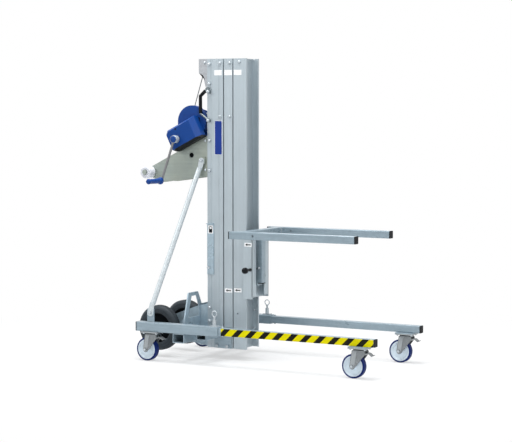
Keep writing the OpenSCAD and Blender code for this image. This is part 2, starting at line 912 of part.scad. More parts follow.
module plunger_housings() {
    flange = [44, 30, 5];
    top = sleeve_top + 36;
    color(zinc) both_sides() translate([plunger_x, leg_y, 0]) difference() {
        union() {
            translate([-flange.x / 2, -flange.y / 2, sleeve_top]) cube(flange);
            translate([0, 0, sleeve_top]) cylinder(r = 10, h = top - sleeve_top);
        }
        translate([0, 0, sleeve_top - 1]) cylinder(r = plunger_r + run_gap, h = top - sleeve_top + 2);
    }
}

// Locking pin with its pull ring, drawn up clear of the leg
module plunger(side) {
    ring_r = 14;
    wire = 2.5;
    pin_top = sleeve_top + 36 + plunger_travel + 3;
    color(zinc) translate([plunger_x, side * leg_y, 0]) {
        translate([0, 0, leg_top + 0.6]) cylinder(r = plunger_r, h = pin_top - leg_top - 0.6);
        translate([0, 0, pin_top - 2]) cylinder(r = 7, h = 6);
        translate([0, 0, pin_top + 3 + ring_r]) rotate([90, 0, 0]) rotate_extrude()
            translate([ring_r, 0]) circle(wire);
    }
}

module right_plunger() { plunger(right); }
module left_plunger() { plunger(left); }

// Leg with its caster pad and the hole for the locking pin
module leg(side) {
    pad = leg_z - leg_size / 2 - caster_h;
    rear = sleeve_front - leg_insert;
    color(zinc) translate([0, side * leg_y, 0]) difference() {
        union() {
            leg_tube(rear, leg_reach - cap_t, leg_size, leg_size - 2 * leg_wall);
            translate([front_pin_x - caster_plate_l / 2, -caster_plate_w / 2, caster_h])
                cube([caster_plate_l, caster_plate_w, pad]);
        }
        translate([plunger_x, 0, leg_z]) cylinder(r = plunger_r + 0.5, h = leg_size);
    }
}

module right_leg() { leg(right); }
module left_leg() { leg(left); }

module leg_cap(side) {
    plug = 16;
    inner = leg_size / 2 - leg_wall - slide_gap;
    color(black) translate([leg_reach, side * leg_y, leg_z]) {
        x_bar(-cap_t, 0, leg_size);
        block([-cap_t - plug, -inner, -inner], [-cap_t, inner, inner]);
    }
}

module right_leg_cap() { leg_cap(right); }
module left_leg_cap() { leg_cap(left); }

// Casters, drawn round their swivel pin

module caster_plate() {
    hole_x = caster_plate_l / 2 - 10;
    hole_y = caster_plate_w / 2 - 12.5;
    color(zinc) difference() {
        union() {
            translate([-caster_plate_l / 2, -caster_plate_w / 2, caster_h - caster_plate_t])
                cube([caster_plate_l, caster_plate_w, caster_plate_t]);
            translate([0, 0, race_foot]) cylinder(r = 30, h = race_h + 1);
        }
        translate([0, 0, race_foot - 1]) cylinder(r = king_r + run_gap, h = race_h + caster_plate_t + 2);
        for (x = [-hole_x, hole_x], y = [-hole_y, hole_y]) {
            translate([x, y, caster_h - caster_plate_t - 1]) cylinder(r = 4.5, h = caster_plate_t + 2);
        }
    }
}

module caster_yoke() {
    crown_t = 6;
    axle = [-caster_trail, caster_r];
    out = yoke_in + yoke_t;
    color(zinc) {
        translate([0, 0, yoke_top - crown_t]) cylinder(r = 37, h = crown_t);
        translate([0, 0, yoke_top - 1]) cylinder(r = king_r, h = caster_h - yoke_top + 0.5);
        both_sides() {
            xz(-out, yoke_t) {
                translate(axle) circle(15);
                polygon([[-34, yoke_top - 2], [pedal_x + 4, yoke_top - 2], [pedal_x + 9, pedal_z],
                         [pedal_x + 2, pedal_z - 9], edge_point(axle, 15, -35), edge_point(axle, 15, 175)]);
            }
            y_rod(axle, 9, -out - 6, -out);
        }
        block([-30, -out + 1, yoke_top - crown_t], [pedal_x + 2, out - 1, yoke_top - 2]);
        y_rod(axle, caster_axle_r, -out - 2, out + 2);
        y_rod([pedal_x, pedal_z], pedal_pin_r, -out - 1, out + 1);
    }
}

// Wheel core and the tread moulded round it
module caster_wheel() {
    rim_r = caster_r - 9;
    tread = tread_w / 2;
    hub = yoke_in - slide_gap;
    bore = caster_axle_r + run_gap;
    turned() {
        color(white) polygon([
            [bore, -hub], [13, -hub], [15, -hub + 6], [20, -8], [rim_r - 10, -10], [rim_r - 7, -tread + 1],
            [rim_r, -tread + 1], [rim_r, tread - 1], [rim_r - 7, tread - 1], [rim_r - 10, 10], [20, 8],
            [15, hub - 6], [13, hub], [bore, hub]
        ]);
        color(blue) polygon([
            [rim_r, -tread + 2], [caster_r - 5, -tread], [caster_r - 1.5, -tread + 3], [caster_r, -tread + 9],
            [caster_r, tread - 9], [caster_r - 1.5, tread - 3], [caster_r - 5, tread], [rim_r, tread - 2]
        ]);
    }
}

// Revolves outlines of radius and width round the caster axle, each as its own solid
module turned() {
    for (i = [0 : $children - 1]) {
        translate([-caster_trail, 0, caster_r]) rotate([90, 0, 0]) rotate_extrude() children(i);
    }
}

// Foot pedal of the wheel brake
module caster_brake() {
    half = 15;
    reach = 40;
    hub = yoke_in - slide_gap;
    pedal_t = 4;
    color(zinc) difference() {
        union() {
            y_rod([pedal_x, pedal_z], 8, -hub, hub);
            xz(-half, 2 * half) polygon([
                [pedal_x, pedal_z + 7], [pedal_x + 24, pedal_z + 4], [pedal_x + reach, pedal_z - 8],
                [pedal_x + reach + 7, pedal_z - 5], [pedal_x + reach + 7, pedal_z - 5 - pedal_t],
                [pedal_x + reach - 1, pedal_z - 9 - pedal_t], [pedal_x + 22, pedal_z], [pedal_x, pedal_z + 2]
            ]);
        }
        y_rod([pedal_x, pedal_z], pedal_pin_r + run_gap, -hub - 1, hub + 1);
    }
}

module at_caster(x, side) {
    translate([x, side * leg_y, 0]) children();
}

module rear_caster_plates() {
    at_caster(rear_pin_x, right) caster_plate();
    at_caster(rear_pin_x, left) caster_plate();
}

module right_front_caster_plate() { at_caster(front_pin_x, right) caster_plate(); }
module left_front_caster_plate() { at_caster(front_pin_x, left) caster_plate(); }

// Transport wheels

// Revolves an outline of radius and width round the wheel axle
module on_axle(side) {
    translate([-wheel_back, side * wheel_track / 2, wheel_axle_z])
        rotate([90, 0, 0]) rotate_extrude() children();
}

module tyre(side) {
    half = wheel_w / 2;
    rim_r = wheel_d / 2 - 44;
    r = wheel_d / 2;
    color(black) on_axle(side) polygon([
        [rim_r, -half + 8], [rim_r + 12, -half + 2], [r - 18, -half], [r - 6, -half + 8], [r, -half + 20],
        [r, half - 20], [r - 6, half - 8], [r - 18, half], [rim_r + 12, half - 2], [rim_r, half - 8]
    ]);
}

module rim(side) {
    half = wheel_w / 2;
    rim_r = wheel_d / 2 - 44;
    bore = wheel_axle_r + run_gap;
    color(black) on_axle(side) polygon([
        [bore, -half], [22, -half], [24, -half + 12], [rim_r - 8, -half + 18], [rim_r - 5, -half + 8],
        [rim_r, -half + 8], [rim_r, half - 8], [rim_r - 5, half - 8], [rim_r - 8, half - 18],
        [24, half - 12], [22, half], [bore, half]
    ]);
}

module right_tyre() { tyre(right); }
module right_rim() { rim(right); }
module left_tyre() { tyre(left); }
module left_rim() { rim(left); }

// Carriage and fork

// Runners along both sides of the carriage rail that reach back to the channel's web
module carriage_runners(lip) {
    rail_half = slider_half - mast_wall - slide_gap;
    runner_t = 8;
    for (y = [-rail_half, rail_half - runner_t]) {
        translate([lip - front_d + slide_gap, y]) square([front_d - guide_d + 1, runner_t]);
    }
}

module carriage_channel() {
    color(aluminium) difference() {
        union() {
            translate([0, 0, carriage_foot]) linear_extrude(carriage_top - carriage_foot) {
                translate([web_x, -carriage_half]) square([web_t, carriage_w]);
                for (y = [-carriage_half, carriage_half - cheek_t]) {
                    translate([carriage_x, y]) square([carriage_d, cheek_t]);
                }
                rail_outline(mast_front - mast_wall, slider_half, front_slot, web_x + 1);
                carriage_runners(mast_front - mast_wall);
            }
            y_rod([knob_x, knob_z], knob_r + 5, -carriage_half + 1, -carriage_half + cheek_t + knob_nut);
        }
        y_rod([knob_x, knob_z], knob_r + run_gap,
              -carriage_half - 1, -carriage_half + cheek_t + knob_nut + 1);
    }
}

// Bracket on the carriage with a short ledge and two jaws for the fork post
module fork_holder() {
    spine_x = web_x + web_t;
    ledge_t = 10;
    jaw_x = post_x + fork_size / 3;
    jaw_foot = post_foot - cap_t - slide_gap;
    jaw_h = 18;
    jaw_t = holder_half - fork_size / 2 - slide_gap;
    color(zinc) {
        block([spine_x, -holder_half, jaw_foot - ledge_t],
              [post_x - slide_gap, holder_half, carriage_top - 20]);
        block([spine_x, -holder_half, jaw_foot - ledge_t], [jaw_x, holder_half, jaw_foot]);
        both_sides() block([spine_x, -holder_half, jaw_foot - ledge_t],
                           [jaw_x, -holder_half + jaw_t, jaw_foot + jaw_h]);
    }
}

// Welded fork: two arms, a cross tube and the post
module fork_frame() {
    arm_y = fork_track / 2;
    half = fork_size / 2;
    tip = arm_x + fork_l;
    color(zinc) difference() {
        union() {
            both_sides() translate([0, -arm_y, fork_top - half]) x_bar(arm_x + cap_t, tip - cap_t, fork_size);
            xz(-arm_y, 2 * arm_y) translate([post_x + half, fork_top - half])
                polygon(rounded(fork_size, fork_size));
            translate([post_x + half, 0, post_foot]) linear_extrude(post_l + half)
                polygon(rounded(fork_size, fork_size));
        }
        both_sides() block([arm_x, -arm_y - half + fork_wall, fork_foot + fork_wall],
                           [tip, -arm_y + half - fork_wall, fork_top - fork_wall]);
        block([post_x + fork_wall, -half + fork_wall, post_foot - 1],
              [post_x + fork_size - fork_wall, half - fork_wall, fork_foot]);
        block([post_x + fork_wall, -arm_y, fork_foot + fork_wall],
              [post_x + fork_size - fork_wall, arm_y, fork_top - fork_wall]);
        both_sides() y_rod([post_x + 100, fork_top - half], cross_hole_r,
                           -arm_y - half - 1, -arm_y + half + 1);
    }
}

module fork_caps() {
    half = fork_size / 2;
    inner = half - fork_wall - slide_gap;
    plug = 14;
    color(black) {
        both_sides() translate([0, -fork_track / 2, fork_top - half]) {
            x_bar(arm_x, arm_x + cap_t, fork_size);
            block([arm_x + cap_t, -inner, -inner], [arm_x + cap_t + plug, inner, inner]);
            x_bar(arm_x + fork_l - cap_t, arm_x + fork_l, fork_size);
            block([arm_x + fork_l - cap_t - plug, -inner, -inner], [arm_x + fork_l - cap_t, inner, inner]);
        }
        translate([post_x + half, 0, post_foot]) {
            translate([0, 0, -cap_t]) linear_extrude(cap_t) polygon(rounded(fork_size, fork_size));
            block([-inner, -inner, -1], [inner, inner, plug]);
        }
    }
}

// Clamp screw with a round knob that holds the fork post
module clamp_knob() {
    face = -carriage_half - slide_gap;
    color(black) {
        y_rod([knob_x, knob_z], knob_r, face - 1, -fork_size / 2 - slide_gap);
        translate([knob_x, face, knob_z]) rotate([90, 0, 0]) rotate_extrude() polygon([
            [0, 0], [9, 0], [8, 14], [8, 28], [12, 40], [15, 45], [17, 52], [17, 60], [15, 67], [10, 73],
            [0, 75]
        ]);
    }
}

// Places a piece in the machine's own frame, with the origin on the floor under its middle
module placed() {
    translate([-x_mid, 0, 0]) children();
}

placed() mast_fixed_section();
placed() right_sleeve();
placed() left_sleeve();
placed() sleeve_caps();
placed() rear_crossbar();
placed() handle_plate();
placed() axle_gussets();
placed() wheel_axle();
placed() mast_side_brackets();
placed() rear_strut();
placed() winch_bracket();
placed() winch_frame();
placed() winch_gear_cover();
placed() winch_wheel_cover();
placed() hoist_rope();
placed() head_bracket();
placed() grab_handle_bars();
placed() grab_handle_grips();
placed() frame_bolts();
placed() plunger_housings();
placed() rear_caster_plates();
placed() lock_lever();
placed() mast_middle_section();
placed() mast_inner_section();
placed() carriage_channel();
placed() fork_holder();
placed() fork_frame();
placed() fork_caps();
placed() clamp_knob();
placed() right_leg();
placed() left_leg();
placed() right_leg_cap();
placed() left_leg_cap();
placed() right_front_caster_plate();
placed() left_front_caster_plate();
placed() right_plunger();
placed() left_plunger();
placed() at_caster(front_pin_x, right) caster_yoke();  // front_right_yoke
placed() at_caster(front_pin_x, right) caster_wheel();  // front_right_wheel
placed() at_caster(front_pin_x, right) caster_brake();  // front_right_brake
placed() at_caster(front_pin_x, left) caster_yoke();  // front_left_yoke
placed() at_caster(front_pin_x, left) caster_wheel();  // front_left_wheel
placed() at_caster(front_pin_x, left) caster_brake();  // front_left_brake
placed() at_caster(rear_pin_x, right) caster_yoke();  // rear_right_yoke
placed() at_caster(rear_pin_x, right) caster_wheel();  // rear_right_wheel
placed() at_caster(rear_pin_x, right) caster_brake();  // rear_right_brake
placed() at_caster(rear_pin_x, left) caster_yoke();  // rear_left_yoke
placed() at_caster(rear_pin_x, left) caster_wheel();  // rear_left_wheel
placed() at_caster(rear_pin_x, left) caster_brake();  // rear_left_brake
placed() right_tyre();
placed() right_rim();
placed() left_tyre();
placed() left_rim();
placed() crank();
placed() crank_grip();
placed() rope_drum();
placed() head_pulley();
placed() right_roller();
placed() left_roller();
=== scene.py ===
"""Finishes, wheels, labels and small hardware of a hand-cranked material hoist, and its studio."""
import json
import math

import bmesh
import bpy
from mathutils import Matrix, Vector


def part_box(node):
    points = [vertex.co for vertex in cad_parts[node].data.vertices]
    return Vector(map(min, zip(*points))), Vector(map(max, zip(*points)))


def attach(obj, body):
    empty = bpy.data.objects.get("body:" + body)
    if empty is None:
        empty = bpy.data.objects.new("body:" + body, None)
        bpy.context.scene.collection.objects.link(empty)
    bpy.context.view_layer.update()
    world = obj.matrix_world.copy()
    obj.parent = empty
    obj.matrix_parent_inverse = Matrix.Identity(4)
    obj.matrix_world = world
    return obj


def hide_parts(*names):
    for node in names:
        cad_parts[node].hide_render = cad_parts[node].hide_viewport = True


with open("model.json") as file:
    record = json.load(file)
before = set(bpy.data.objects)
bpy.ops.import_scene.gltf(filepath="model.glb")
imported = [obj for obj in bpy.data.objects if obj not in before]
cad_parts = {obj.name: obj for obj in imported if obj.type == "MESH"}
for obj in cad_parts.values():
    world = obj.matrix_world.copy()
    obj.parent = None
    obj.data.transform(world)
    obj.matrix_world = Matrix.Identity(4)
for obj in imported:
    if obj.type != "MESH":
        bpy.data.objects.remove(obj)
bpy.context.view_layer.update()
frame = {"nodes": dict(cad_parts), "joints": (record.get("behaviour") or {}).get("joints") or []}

bl_info = {
    "name": "Material Hoist Finish",
    "version": (1, 0, 0),
    "blender": (4, 5, 0),
    "location": "3D View > Sidebar > Hoist",
    "description": "Dresses the packed material hoist with finishes, wheels, labels and hardware",
    "category": "Object",
}

MM = 0.001
SIDES = {"right": -1, "left": 1}
ENDS = ("front", "rear")
ACROSS = Vector((0, 1, 0))
UP = Vector((0, 0, 1))
DOWN = Vector((0, 0, -1))


def corners(node):
    """Lowest and highest corner of a CAD node as vectors."""
    low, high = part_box(node)
    return Vector(low), Vector(high)


def centre(node):
    """Middle of a CAD node's box."""
    low, high = corners(node)
    return (low + high) / 2


def round_node(node):
    """Middle, radius and half width of a CAD node that is round about the y axis."""
    low, high = corners(node)
    return (low + high) / 2, (high.z - low.z) / 2, (high.y - low.y) / 2


def joint_at(name):
    """Point that a joint turns about."""
    return Vector(next(item["pos_m"] for item in frame["joints"] if item["name"] == name))


MAST_LOW, MAST_HIGH = corners("mast_fixed_section")


def at(x, y, z):
    """Point given in millimetres from the mast's rear face, the mid plane and the floor."""
    return Vector((MAST_LOW.x + x * MM, y * MM, z * MM))


SLEEVE_MOUTH = at(221, 0, 0).x
STRIPE_START = at(198, 0, 0).x


# Sizes and colours that a user would change


def measure(label, words, value):
    """Length property with its default in millimetres."""
    return bpy.props.FloatProperty(name=label, description=words, default=value * MM, unit="LENGTH")


class HoistSizes(bpy.types.PropertyGroup):
    """Sizes of the pieces that dress the frame."""

    tape_pitch: measure("Tape pitch", "Length of one yellow and one black stripe along the leg", 80)
    tape_thickness: measure("Tape thickness", "Thickness of the marking tape", 0.2)
    label_thickness: measure("Label thickness", "Thickness of the stickers", 0.3)
    bolt_size: measure("Bolt size", "Radius across the corners of the bolt heads", 9.8)
    tread_depth: measure("Tread depth", "Thickness of the caster treads", 9)
    rope_radius: measure("Rope radius", "Radius of the hoist rope", 2.5)
    bead_radius: measure("Weld bead", "Radius of the weld beads", 2.6)
    foam_radius: measure("Foam radius", "Radius of the foam sleeves of the grab handles", 9.8)
    edge_bevel: measure("Edge bevel", "Rounding of the sheet and tube edges", 0.8)


def colour(label, words, value):
    """Colour property with its default."""
    return bpy.props.FloatVectorProperty(
        name=label, description=words, default=value, size=3, min=0.0, max=1.0, subtype="COLOR")


class HoistColours(bpy.types.PropertyGroup):
    """Colours of the finishes."""

    aluminium: colour("Aluminium", "Mill-finished mast extrusions", (0.435, 0.50, 0.54))
    zinc: colour("Zinc", "Bright zinc plating of the steel frame", (0.28, 0.36, 0.415))
    bracket_zinc: colour("Bracket zinc", "Yellowish zinc of the winch bracket", (0.385, 0.425, 0.372))
    bracket_stain: colour("Bracket stain", "Clouds on the winch bracket", (0.28, 0.34, 0.335))
    head_zinc: colour("Head zinc", "Pale zinc of the mast head", (0.41, 0.43, 0.455))
    bolt_zinc: colour("Bolt zinc", "Plated bolts, nuts and pins", (0.50, 0.55, 0.585))
    # Base colour of the caster finishes: darkened on the yokes and brakes as painted shade, lightened on the
    # ridges as a painted highlight
    caster_zinc: colour("Caster zinc", "Grey zinc of the caster yokes", (0.31, 0.335, 0.35))
    # Light as a painted sheen: stands for the bright reflections along the round strut
    strut_zinc_painted_sheen: colour("Strut zinc", "Fresh zinc of the rear strut", (0.62, 0.68, 0.71))
    bar_zinc: colour("Bar zinc", "Dull zinc of the grab handles", (0.20, 0.235, 0.25))
    crank: colour("Crank", "Steel of the crank", (0.24, 0.24, 0.25))
    rope: colour("Rope", "Wires of the hoist rope", (0.30, 0.32, 0.33))
    winch_blue: colour("Winch blue", "Housing of the winch", (0.004, 0.045, 0.22))
    tread_blue: colour("Tread blue", "Treads of the casters", (0.005, 0.018, 0.12))
    core_white: colour("Wheel white", "Cores of the caster wheels", (0.60, 0.69, 0.76))
    roller_white: colour("Roller white", "Loading rollers", (0.64, 0.66, 0.71))
    black: colour("Black plastic", "End caps, knob and pulley", (0.006, 0.007, 0.009))
    tyre: colour("Tyre", "Transport tyres", (0.032, 0.041, 0.050))
    rim: colour("Rim", "Rims of the transport wheels", (0.003, 0.004, 0.005))
    tape_yellow: colour("Tape yellow", "Light stripes of the marking tape", (0.72, 0.64, 0.002))
    label_white: colour("Label white", "Stickers", (0.85, 0.86, 0.87))
    plate_blue: colour("Plate blue", "Blank plate on the mast", (0.014, 0.040, 0.24))
    floor: colour("Floor", "Studio floor", (0.85, 0.86, 0.87))


def sizes():
    """Sizes of this scene."""
    return bpy.context.scene.hoist_sizes


def paint(name):
    """Colour of this scene by its name, with alpha."""
    return (*getattr(bpy.context.scene.hoist_colours, name), 1.0)


# Materials


MADE = {}


class Tree:
    """Node tree with short ways to add nodes and join them."""

    def __init__(self, owner):
        owner.use_nodes = True
        self.nodes = owner.node_tree.nodes
        self.links = owner.node_tree.links

    def add(self, kind, **sockets):
        """New node with its input values."""
        node = self.nodes.new(f"ShaderNode{kind}")
        for label, value in sockets.items():
            node.inputs[label.replace("_", " ")].default_value = value
        return node

    def join(self, source, target):
        """Link from one socket to another."""
        self.links.new(source, target)

    def feed(self, value, socket):
        """Value of a socket, from another socket or as it is."""
        if isinstance(value, bpy.types.NodeSocket):
            self.join(value, socket)
        else:
            socket.default_value = value

    def spread(self, value, low, high, start=0.3, stop=0.7):
        """Value mapped to a range of numbers."""
        node = self.add("MapRange", From_Min=start, From_Max=stop, To_Min=low, To_Max=high)
        self.join(value, node.inputs["Value"])
        return node.outputs["Result"]

    def math(self, operation, first, second):
        """Result of an operation on two values, each a socket or a number."""
        node = self.add("Math")
        node.operation = operation
        for socket, value in zip(node.inputs, (first, second)):
            self.feed(value, socket)
        return node.outputs["Value"]


class Finish(Tree):
    """Node tree of one material round its surface shader."""

    def __init__(self, name, **sockets):
        if name in bpy.data.materials:
            raise ValueError(f"a material with the name {name} exists already")
        MADE[name] = bpy.data.materials.new(name)
        super().__init__(MADE[name])
        self.surface = self.nodes["Principled BSDF"]
        for label, value in sockets.items():
            self.surface.inputs[label.replace("_", " ")].default_value = value

    def place(self, scale=(1, 1, 1), turn=(0, 0, 0), move=(0, 0, 0)):
        """Object coordinates, moved, turned and scaled."""
        coords = self.add("TexCoord")
        mapping = self.add("Mapping", Location=move, Rotation=turn, Scale=scale)
        self.join(coords.outputs["Object"], mapping.inputs["Vector"])
        return mapping.outputs["Vector"]

    def noise(self, scale, detail, roughness=0.55, grain=(1, 1, 1)):
        """Noise value, drawn out along the axis where grain is smallest."""
        node = self.add("TexNoise", Scale=scale, Detail=detail, Roughness=roughness)
        self.join(self.place(grain), node.inputs["Vector"])
        return node.outputs["Fac"]

    def spangle(self, scale):
        """Random value for each cell of a crystal pattern."""
        node = self.add("TexVoronoi", Scale=scale)
        self.join(self.place(), node.inputs["Vector"])
        split = self.add("SeparateColor")
        self.join(node.outputs["Color"], split.inputs["Color"])
        return split.outputs["Red"]

    def ramp(self, value, stops, step=False):
        """Two colours along a value, smooth or in steps."""
        node = self.add("ValToRGB")
        node.color_ramp.interpolation = "CONSTANT" if step else "LINEAR"
        for end, (position, tint) in zip(node.color_ramp.elements, stops):
            end.position = position
            end.color = tint
        self.join(value, node.inputs["Fac"])
        return node.outputs["Color"]

    def mix(self, fac, first, second, blend="MIX"):
        """Mix of two colours, each a socket or a colour."""
        node = self.add("Mix")
        node.data_type = "RGBA"
        node.blend_type = blend
        for index, value in ((0, fac), (6, first), (7, second)):
            self.feed(value, node.inputs[index])
        return node.outputs[2]

    def bump(self, height, strength, distance):
        """Bump on the surface from a height."""
        node = self.add("Bump", Strength=strength, Distance=distance)
        self.join(height, node.inputs["Height"])
        self.join(node.outputs["Normal"], self.surface.inputs["Normal"])

    def base(self, socket):
        """Colour of the surface."""
        self.join(socket, self.surface.inputs["Base Color"])

    def rough(self, socket):
        """Roughness of the surface."""
        self.join(socket, self.surface.inputs["Roughness"])


def shade(tint, factor):
    """A colour made lighter or darker."""
    return (*(min(1.0, part * factor) for part in tint[:3]), 1.0)


def drawn_metal(name, tint, grain, metallic=0.5, roughness=0.42, contrast=0.10):
    """Metal with drawing lines along the axis where grain is smallest, and faint stains."""
    finish = Finish(name, Metallic=metallic)
    lines = finish.noise(1.0, 4.0, 0.7, grain)
    stains = finish.noise(7.0, 4.0)
    streaks = finish.ramp(lines, [(0.3, shade(tint, 1 - contrast)), (0.7, shade(tint, 1 + contrast))])
    finish.base(finish.mix(finish.spread(stains, 0.0, 0.35), streaks, shade(tint, 0.86)))
    finish.rough(finish.spread(lines, roughness - 0.08, roughness + 0.10))
    finish.bump(lines, 0.06, 0.4 * MM)


def zinc_plate(name, tint, cell, metallic=0.5, roughness=0.36, stain=None, grain=(6, 90, 90)):
    """Zinc plating with faint spangle, stains, and streaks along the axis where grain is smallest."""
    finish = Finish(name, Metallic=metallic)
    crystals = finish.spangle(cell)
    clouds = finish.noise(9.0, 5.0)
    streaks = finish.noise(1.0, 3.0, grain=grain)
    facets = finish.ramp(crystals, [(0.0, shade(tint, 0.96)), (1.0, shade(tint, 1.04))])
    lines = finish.ramp(streaks, [(0.3, (0.86, 0.86, 0.86, 1.0)), (0.7, (1.0, 1.0, 1.0, 1.0))])
    body = finish.mix(finish.spread(clouds, 0.0, 0.5), facets, stain or shade(tint, 1.12))
    finish.base(finish.mix(1.0, body, lines, "MULTIPLY"))
    finish.rough(finish.spread(clouds, roughness - 0.04, roughness + 0.06))
    finish.bump(streaks, 0.02, 0.2 * MM)


def moulded(name, tint, roughness, grain=900.0, depth=0.12, specular=0.25):
    """Plastic, paint or rubber with a fine grained skin and dusty patches."""
    finish = Finish(name, Specular_IOR_Level=specular)
    skin = finish.noise(grain, 2.0)
    dust = finish.noise(16.0, 5.0)
    finish.base(finish.mix(finish.spread(dust, 0.0, 0.5), tint, shade(tint, 1.25)))
    finish.rough(finish.spread(dust, roughness - 0.05, roughness + 0.12))
    finish.bump(skin, depth, 0.3 * MM)


def striped_tape(name, tint, dark, pitch, start):
    """Glossy tape with slanted stripes of equal width."""
    finish = Finish(name, Specular_IOR_Level=0.05)
    split = finish.add("SeparateXYZ")
    finish.join(finish.place(move=(-start, 0, 0)), split.inputs["Vector"])
    slant = finish.math("SUBTRACT", split.outputs["X"], split.outputs["Z"])
    phase = finish.math("FRACT", finish.math("DIVIDE", slant, pitch), 0.0)
    dirt = finish.noise(40.0, 4.0)
    stripes = finish.ramp(phase, [(0.0, dark), (0.47, tint)], step=True)
    finish.base(finish.mix(finish.spread(dirt, 0.0, 0.06), stripes, shade(tint, 0.35)))
    finish.rough(finish.spread(dirt, 0.32, 0.5))


def housing_paint(name, tint, foot, tilt, level):
    """Blue housing paint that turns black below a level on the winch's slope."""
    finish = Finish(name, Specular_IOR_Level=0.2)
    split = finish.add("SeparateXYZ")
    finish.join(finish.place(turn=(0, tilt, 0)), split.inputs["Vector"])
    above = finish.math("GREATER_THAN", split.outputs["Z"], level)
    dust = finish.noise(22.0, 5.0)
    skin = finish.noise(700.0, 2.0)
    body = finish.mix(finish.spread(dust, 0.0, 0.4), tint, shade(tint, 1.3))
    finish.base(finish.mix(above, foot, body))
    finish.rough(finish.spread(dust, 0.3, 0.45))
    finish.bump(skin, 0.1, 0.2 * MM)


def stranded(name, tint):
    """Wire rope with the slanted lay of its strands, darker in the grooves between them as painted shade."""
    finish = Finish(name, Metallic=0.8)
    wave = finish.add("TexWave", Scale=160.0, Distortion=0.4)
    finish.join(finish.place(turn=(0.5, 0.6, 0.3)), wave.inputs["Vector"])
    lay = wave.outputs["Fac"]
    # Darker bands between the strands: painted shade in the grooves of the lay
    finish.base(finish.ramp(lay, [(0.2, shade(tint, 0.45)), (0.7, tint)]))
    finish.rough(finish.spread(lay, 0.55, 0.38))
    finish.bump(lay, 0.5, 0.5 * MM)


def finishes():
    """Every finish of the hoist by name, made once."""
    if MADE:
        return MADE
    tilt = math.radians(26.5)
    foot_level = at(-376.2, 0, 1034.4)
    black_below = foot_level.z * math.cos(tilt) - foot_level.x * math.sin(tilt) + 4 * MM
    drawn_metal("mast_aluminium", paint("aluminium"), (260, 260, 1.2))
    drawn_metal("carriage_aluminium", shade(paint("aluminium"), 1.06), (240, 240, 1.2))
    zinc_plate("frame_zinc", paint("zinc"), 70.0, 0.25, 0.3)
    zinc_plate("plate_zinc", shade(paint("zinc"), 1.35), 70.0, 0.3, 0.3, grain=(40, 40, 40))
    # Far lighter than the frame's zinc: painted sheen of the reflections along the round strut
    zinc_plate("strut_zinc_painted_sheen", paint("strut_zinc_painted_sheen"), 120.0, 0.4, 0.3)
    zinc_plate("bar_zinc", paint("bar_zinc"), 120.0, 0.6, 0.4)
    zinc_plate("hardware_zinc", paint("bolt_zinc"), 260.0, 0.35, 0.25)
    # Darkened copy on the yokes and brakes: painted shade of the yoke gussets that turn inwards
    zinc_plate("caster_zinc", shade(paint("caster_zinc"), 0.72), 180.0, 0.5, 0.24, grain=(40, 40, 40))
    # Lightened copy of the caster zinc: a painted highlight on the yoke ridges; the caster plates wear it too
    zinc_plate("painted_lit_caster_zinc", shade(paint("caster_zinc"), 1.15), 180.0, 0.4, 0.3, grain=(40, 40, 40))
    zinc_plate("bracket_zinc", paint("bracket_zinc"), 26.0, 0.55, 0.42, paint("bracket_stain"))
    zinc_plate("head_zinc", paint("head_zinc"), 40.0, 0.5, 0.42)
    drawn_metal("crank_metal", paint("crank"), (60, 60, 60), 0.8, 0.4)
    moulded("winch_paint", paint("winch_blue"), 0.36, 700.0)
    housing_paint("gear_cover_paint", paint("winch_blue"), paint("black"), tilt, black_below)
    moulded("grip_paint", paint("winch_blue"), 0.42, 500.0, 0.2)
    moulded("tread_urethane", paint("tread_blue"), 0.42, 1200.0, 0.08, 0.1)
    moulded("wheel_nylon", paint("core_white"), 0.4, 1500.0, 0.05)
    moulded("roller_nylon", paint("roller_white"), 0.5, 400.0, 0.03, 0.2)
    moulded("cap_plastic", paint("black"), 0.48, 1100.0, 0.15, 0.12)
    moulded("knob_plastic", paint("black"), 0.22, 1100.0, 0.05, 0.14)
    moulded("grip_foam", paint("black"), 0.85, 1400.0, 0.5, 0.15)
    moulded("tyre_rubber", paint("tyre"), 0.5, 800.0, 0.2, 0.22)
    moulded("rim_plastic", paint("rim"), 0.7, 900.0, 0.2, 0.04)
    moulded("label_film", paint("label_white"), 0.35, 300.0, 0.03)
    moulded("label_ink", paint("black"), 0.5, 300.0, 0.03, 0.1)
    moulded("plate_film", paint("plate_blue"), 0.35, 300.0, 0.03, 0.15)
    stranded("rope_wire", paint("rope"))
    striped_tape("marking_tape", paint("tape_yellow"), paint("black"), sizes().tape_pitch, STRIPE_START)
    return MADE


NODE_FINISH = {
    "mast_aluminium": ["mast_fixed_section", "mast_middle_section", "mast_inner_section"],
    "carriage_aluminium": ["carriage_channel"],
    "frame_zinc": [
        "right_sleeve", "left_sleeve", "rear_crossbar", "mast_side_brackets", "fork_holder", "fork_frame",
        "right_leg", "left_leg"],
    "plate_zinc": ["handle_plate", "axle_gussets", "lock_lever"],
    "strut_zinc_painted_sheen": ["rear_strut"],
    "bar_zinc": ["grab_handle_bars"],
    # Lightened caster zinc, a painted highlight on the ridges
    "painted_lit_caster_zinc": ["rear_caster_plates", "right_front_caster_plate", "left_front_caster_plate"],
    "hardware_zinc": ["wheel_axle", "frame_bolts", "plunger_housings", "right_plunger", "left_plunger"],
    "bracket_zinc": ["winch_bracket"],
    "head_zinc": ["head_bracket"],
    "crank_metal": ["crank"],
    "winch_paint": ["winch_wheel_cover", "winch_frame"],
    "gear_cover_paint": ["winch_gear_cover"],
    "grip_paint": ["crank_grip"],
    "roller_nylon": ["right_roller", "left_roller"],
    "cap_plastic": ["sleeve_caps", "fork_caps", "right_leg_cap", "left_leg_cap", "head_pulley"],
    "knob_plastic": ["clamp_knob"],
    "rim_plastic": ["right_rim", "left_rim"],
    "rope_wire": ["hoist_rope"],
}
CASTER_PARTS = ("yoke", "brake")
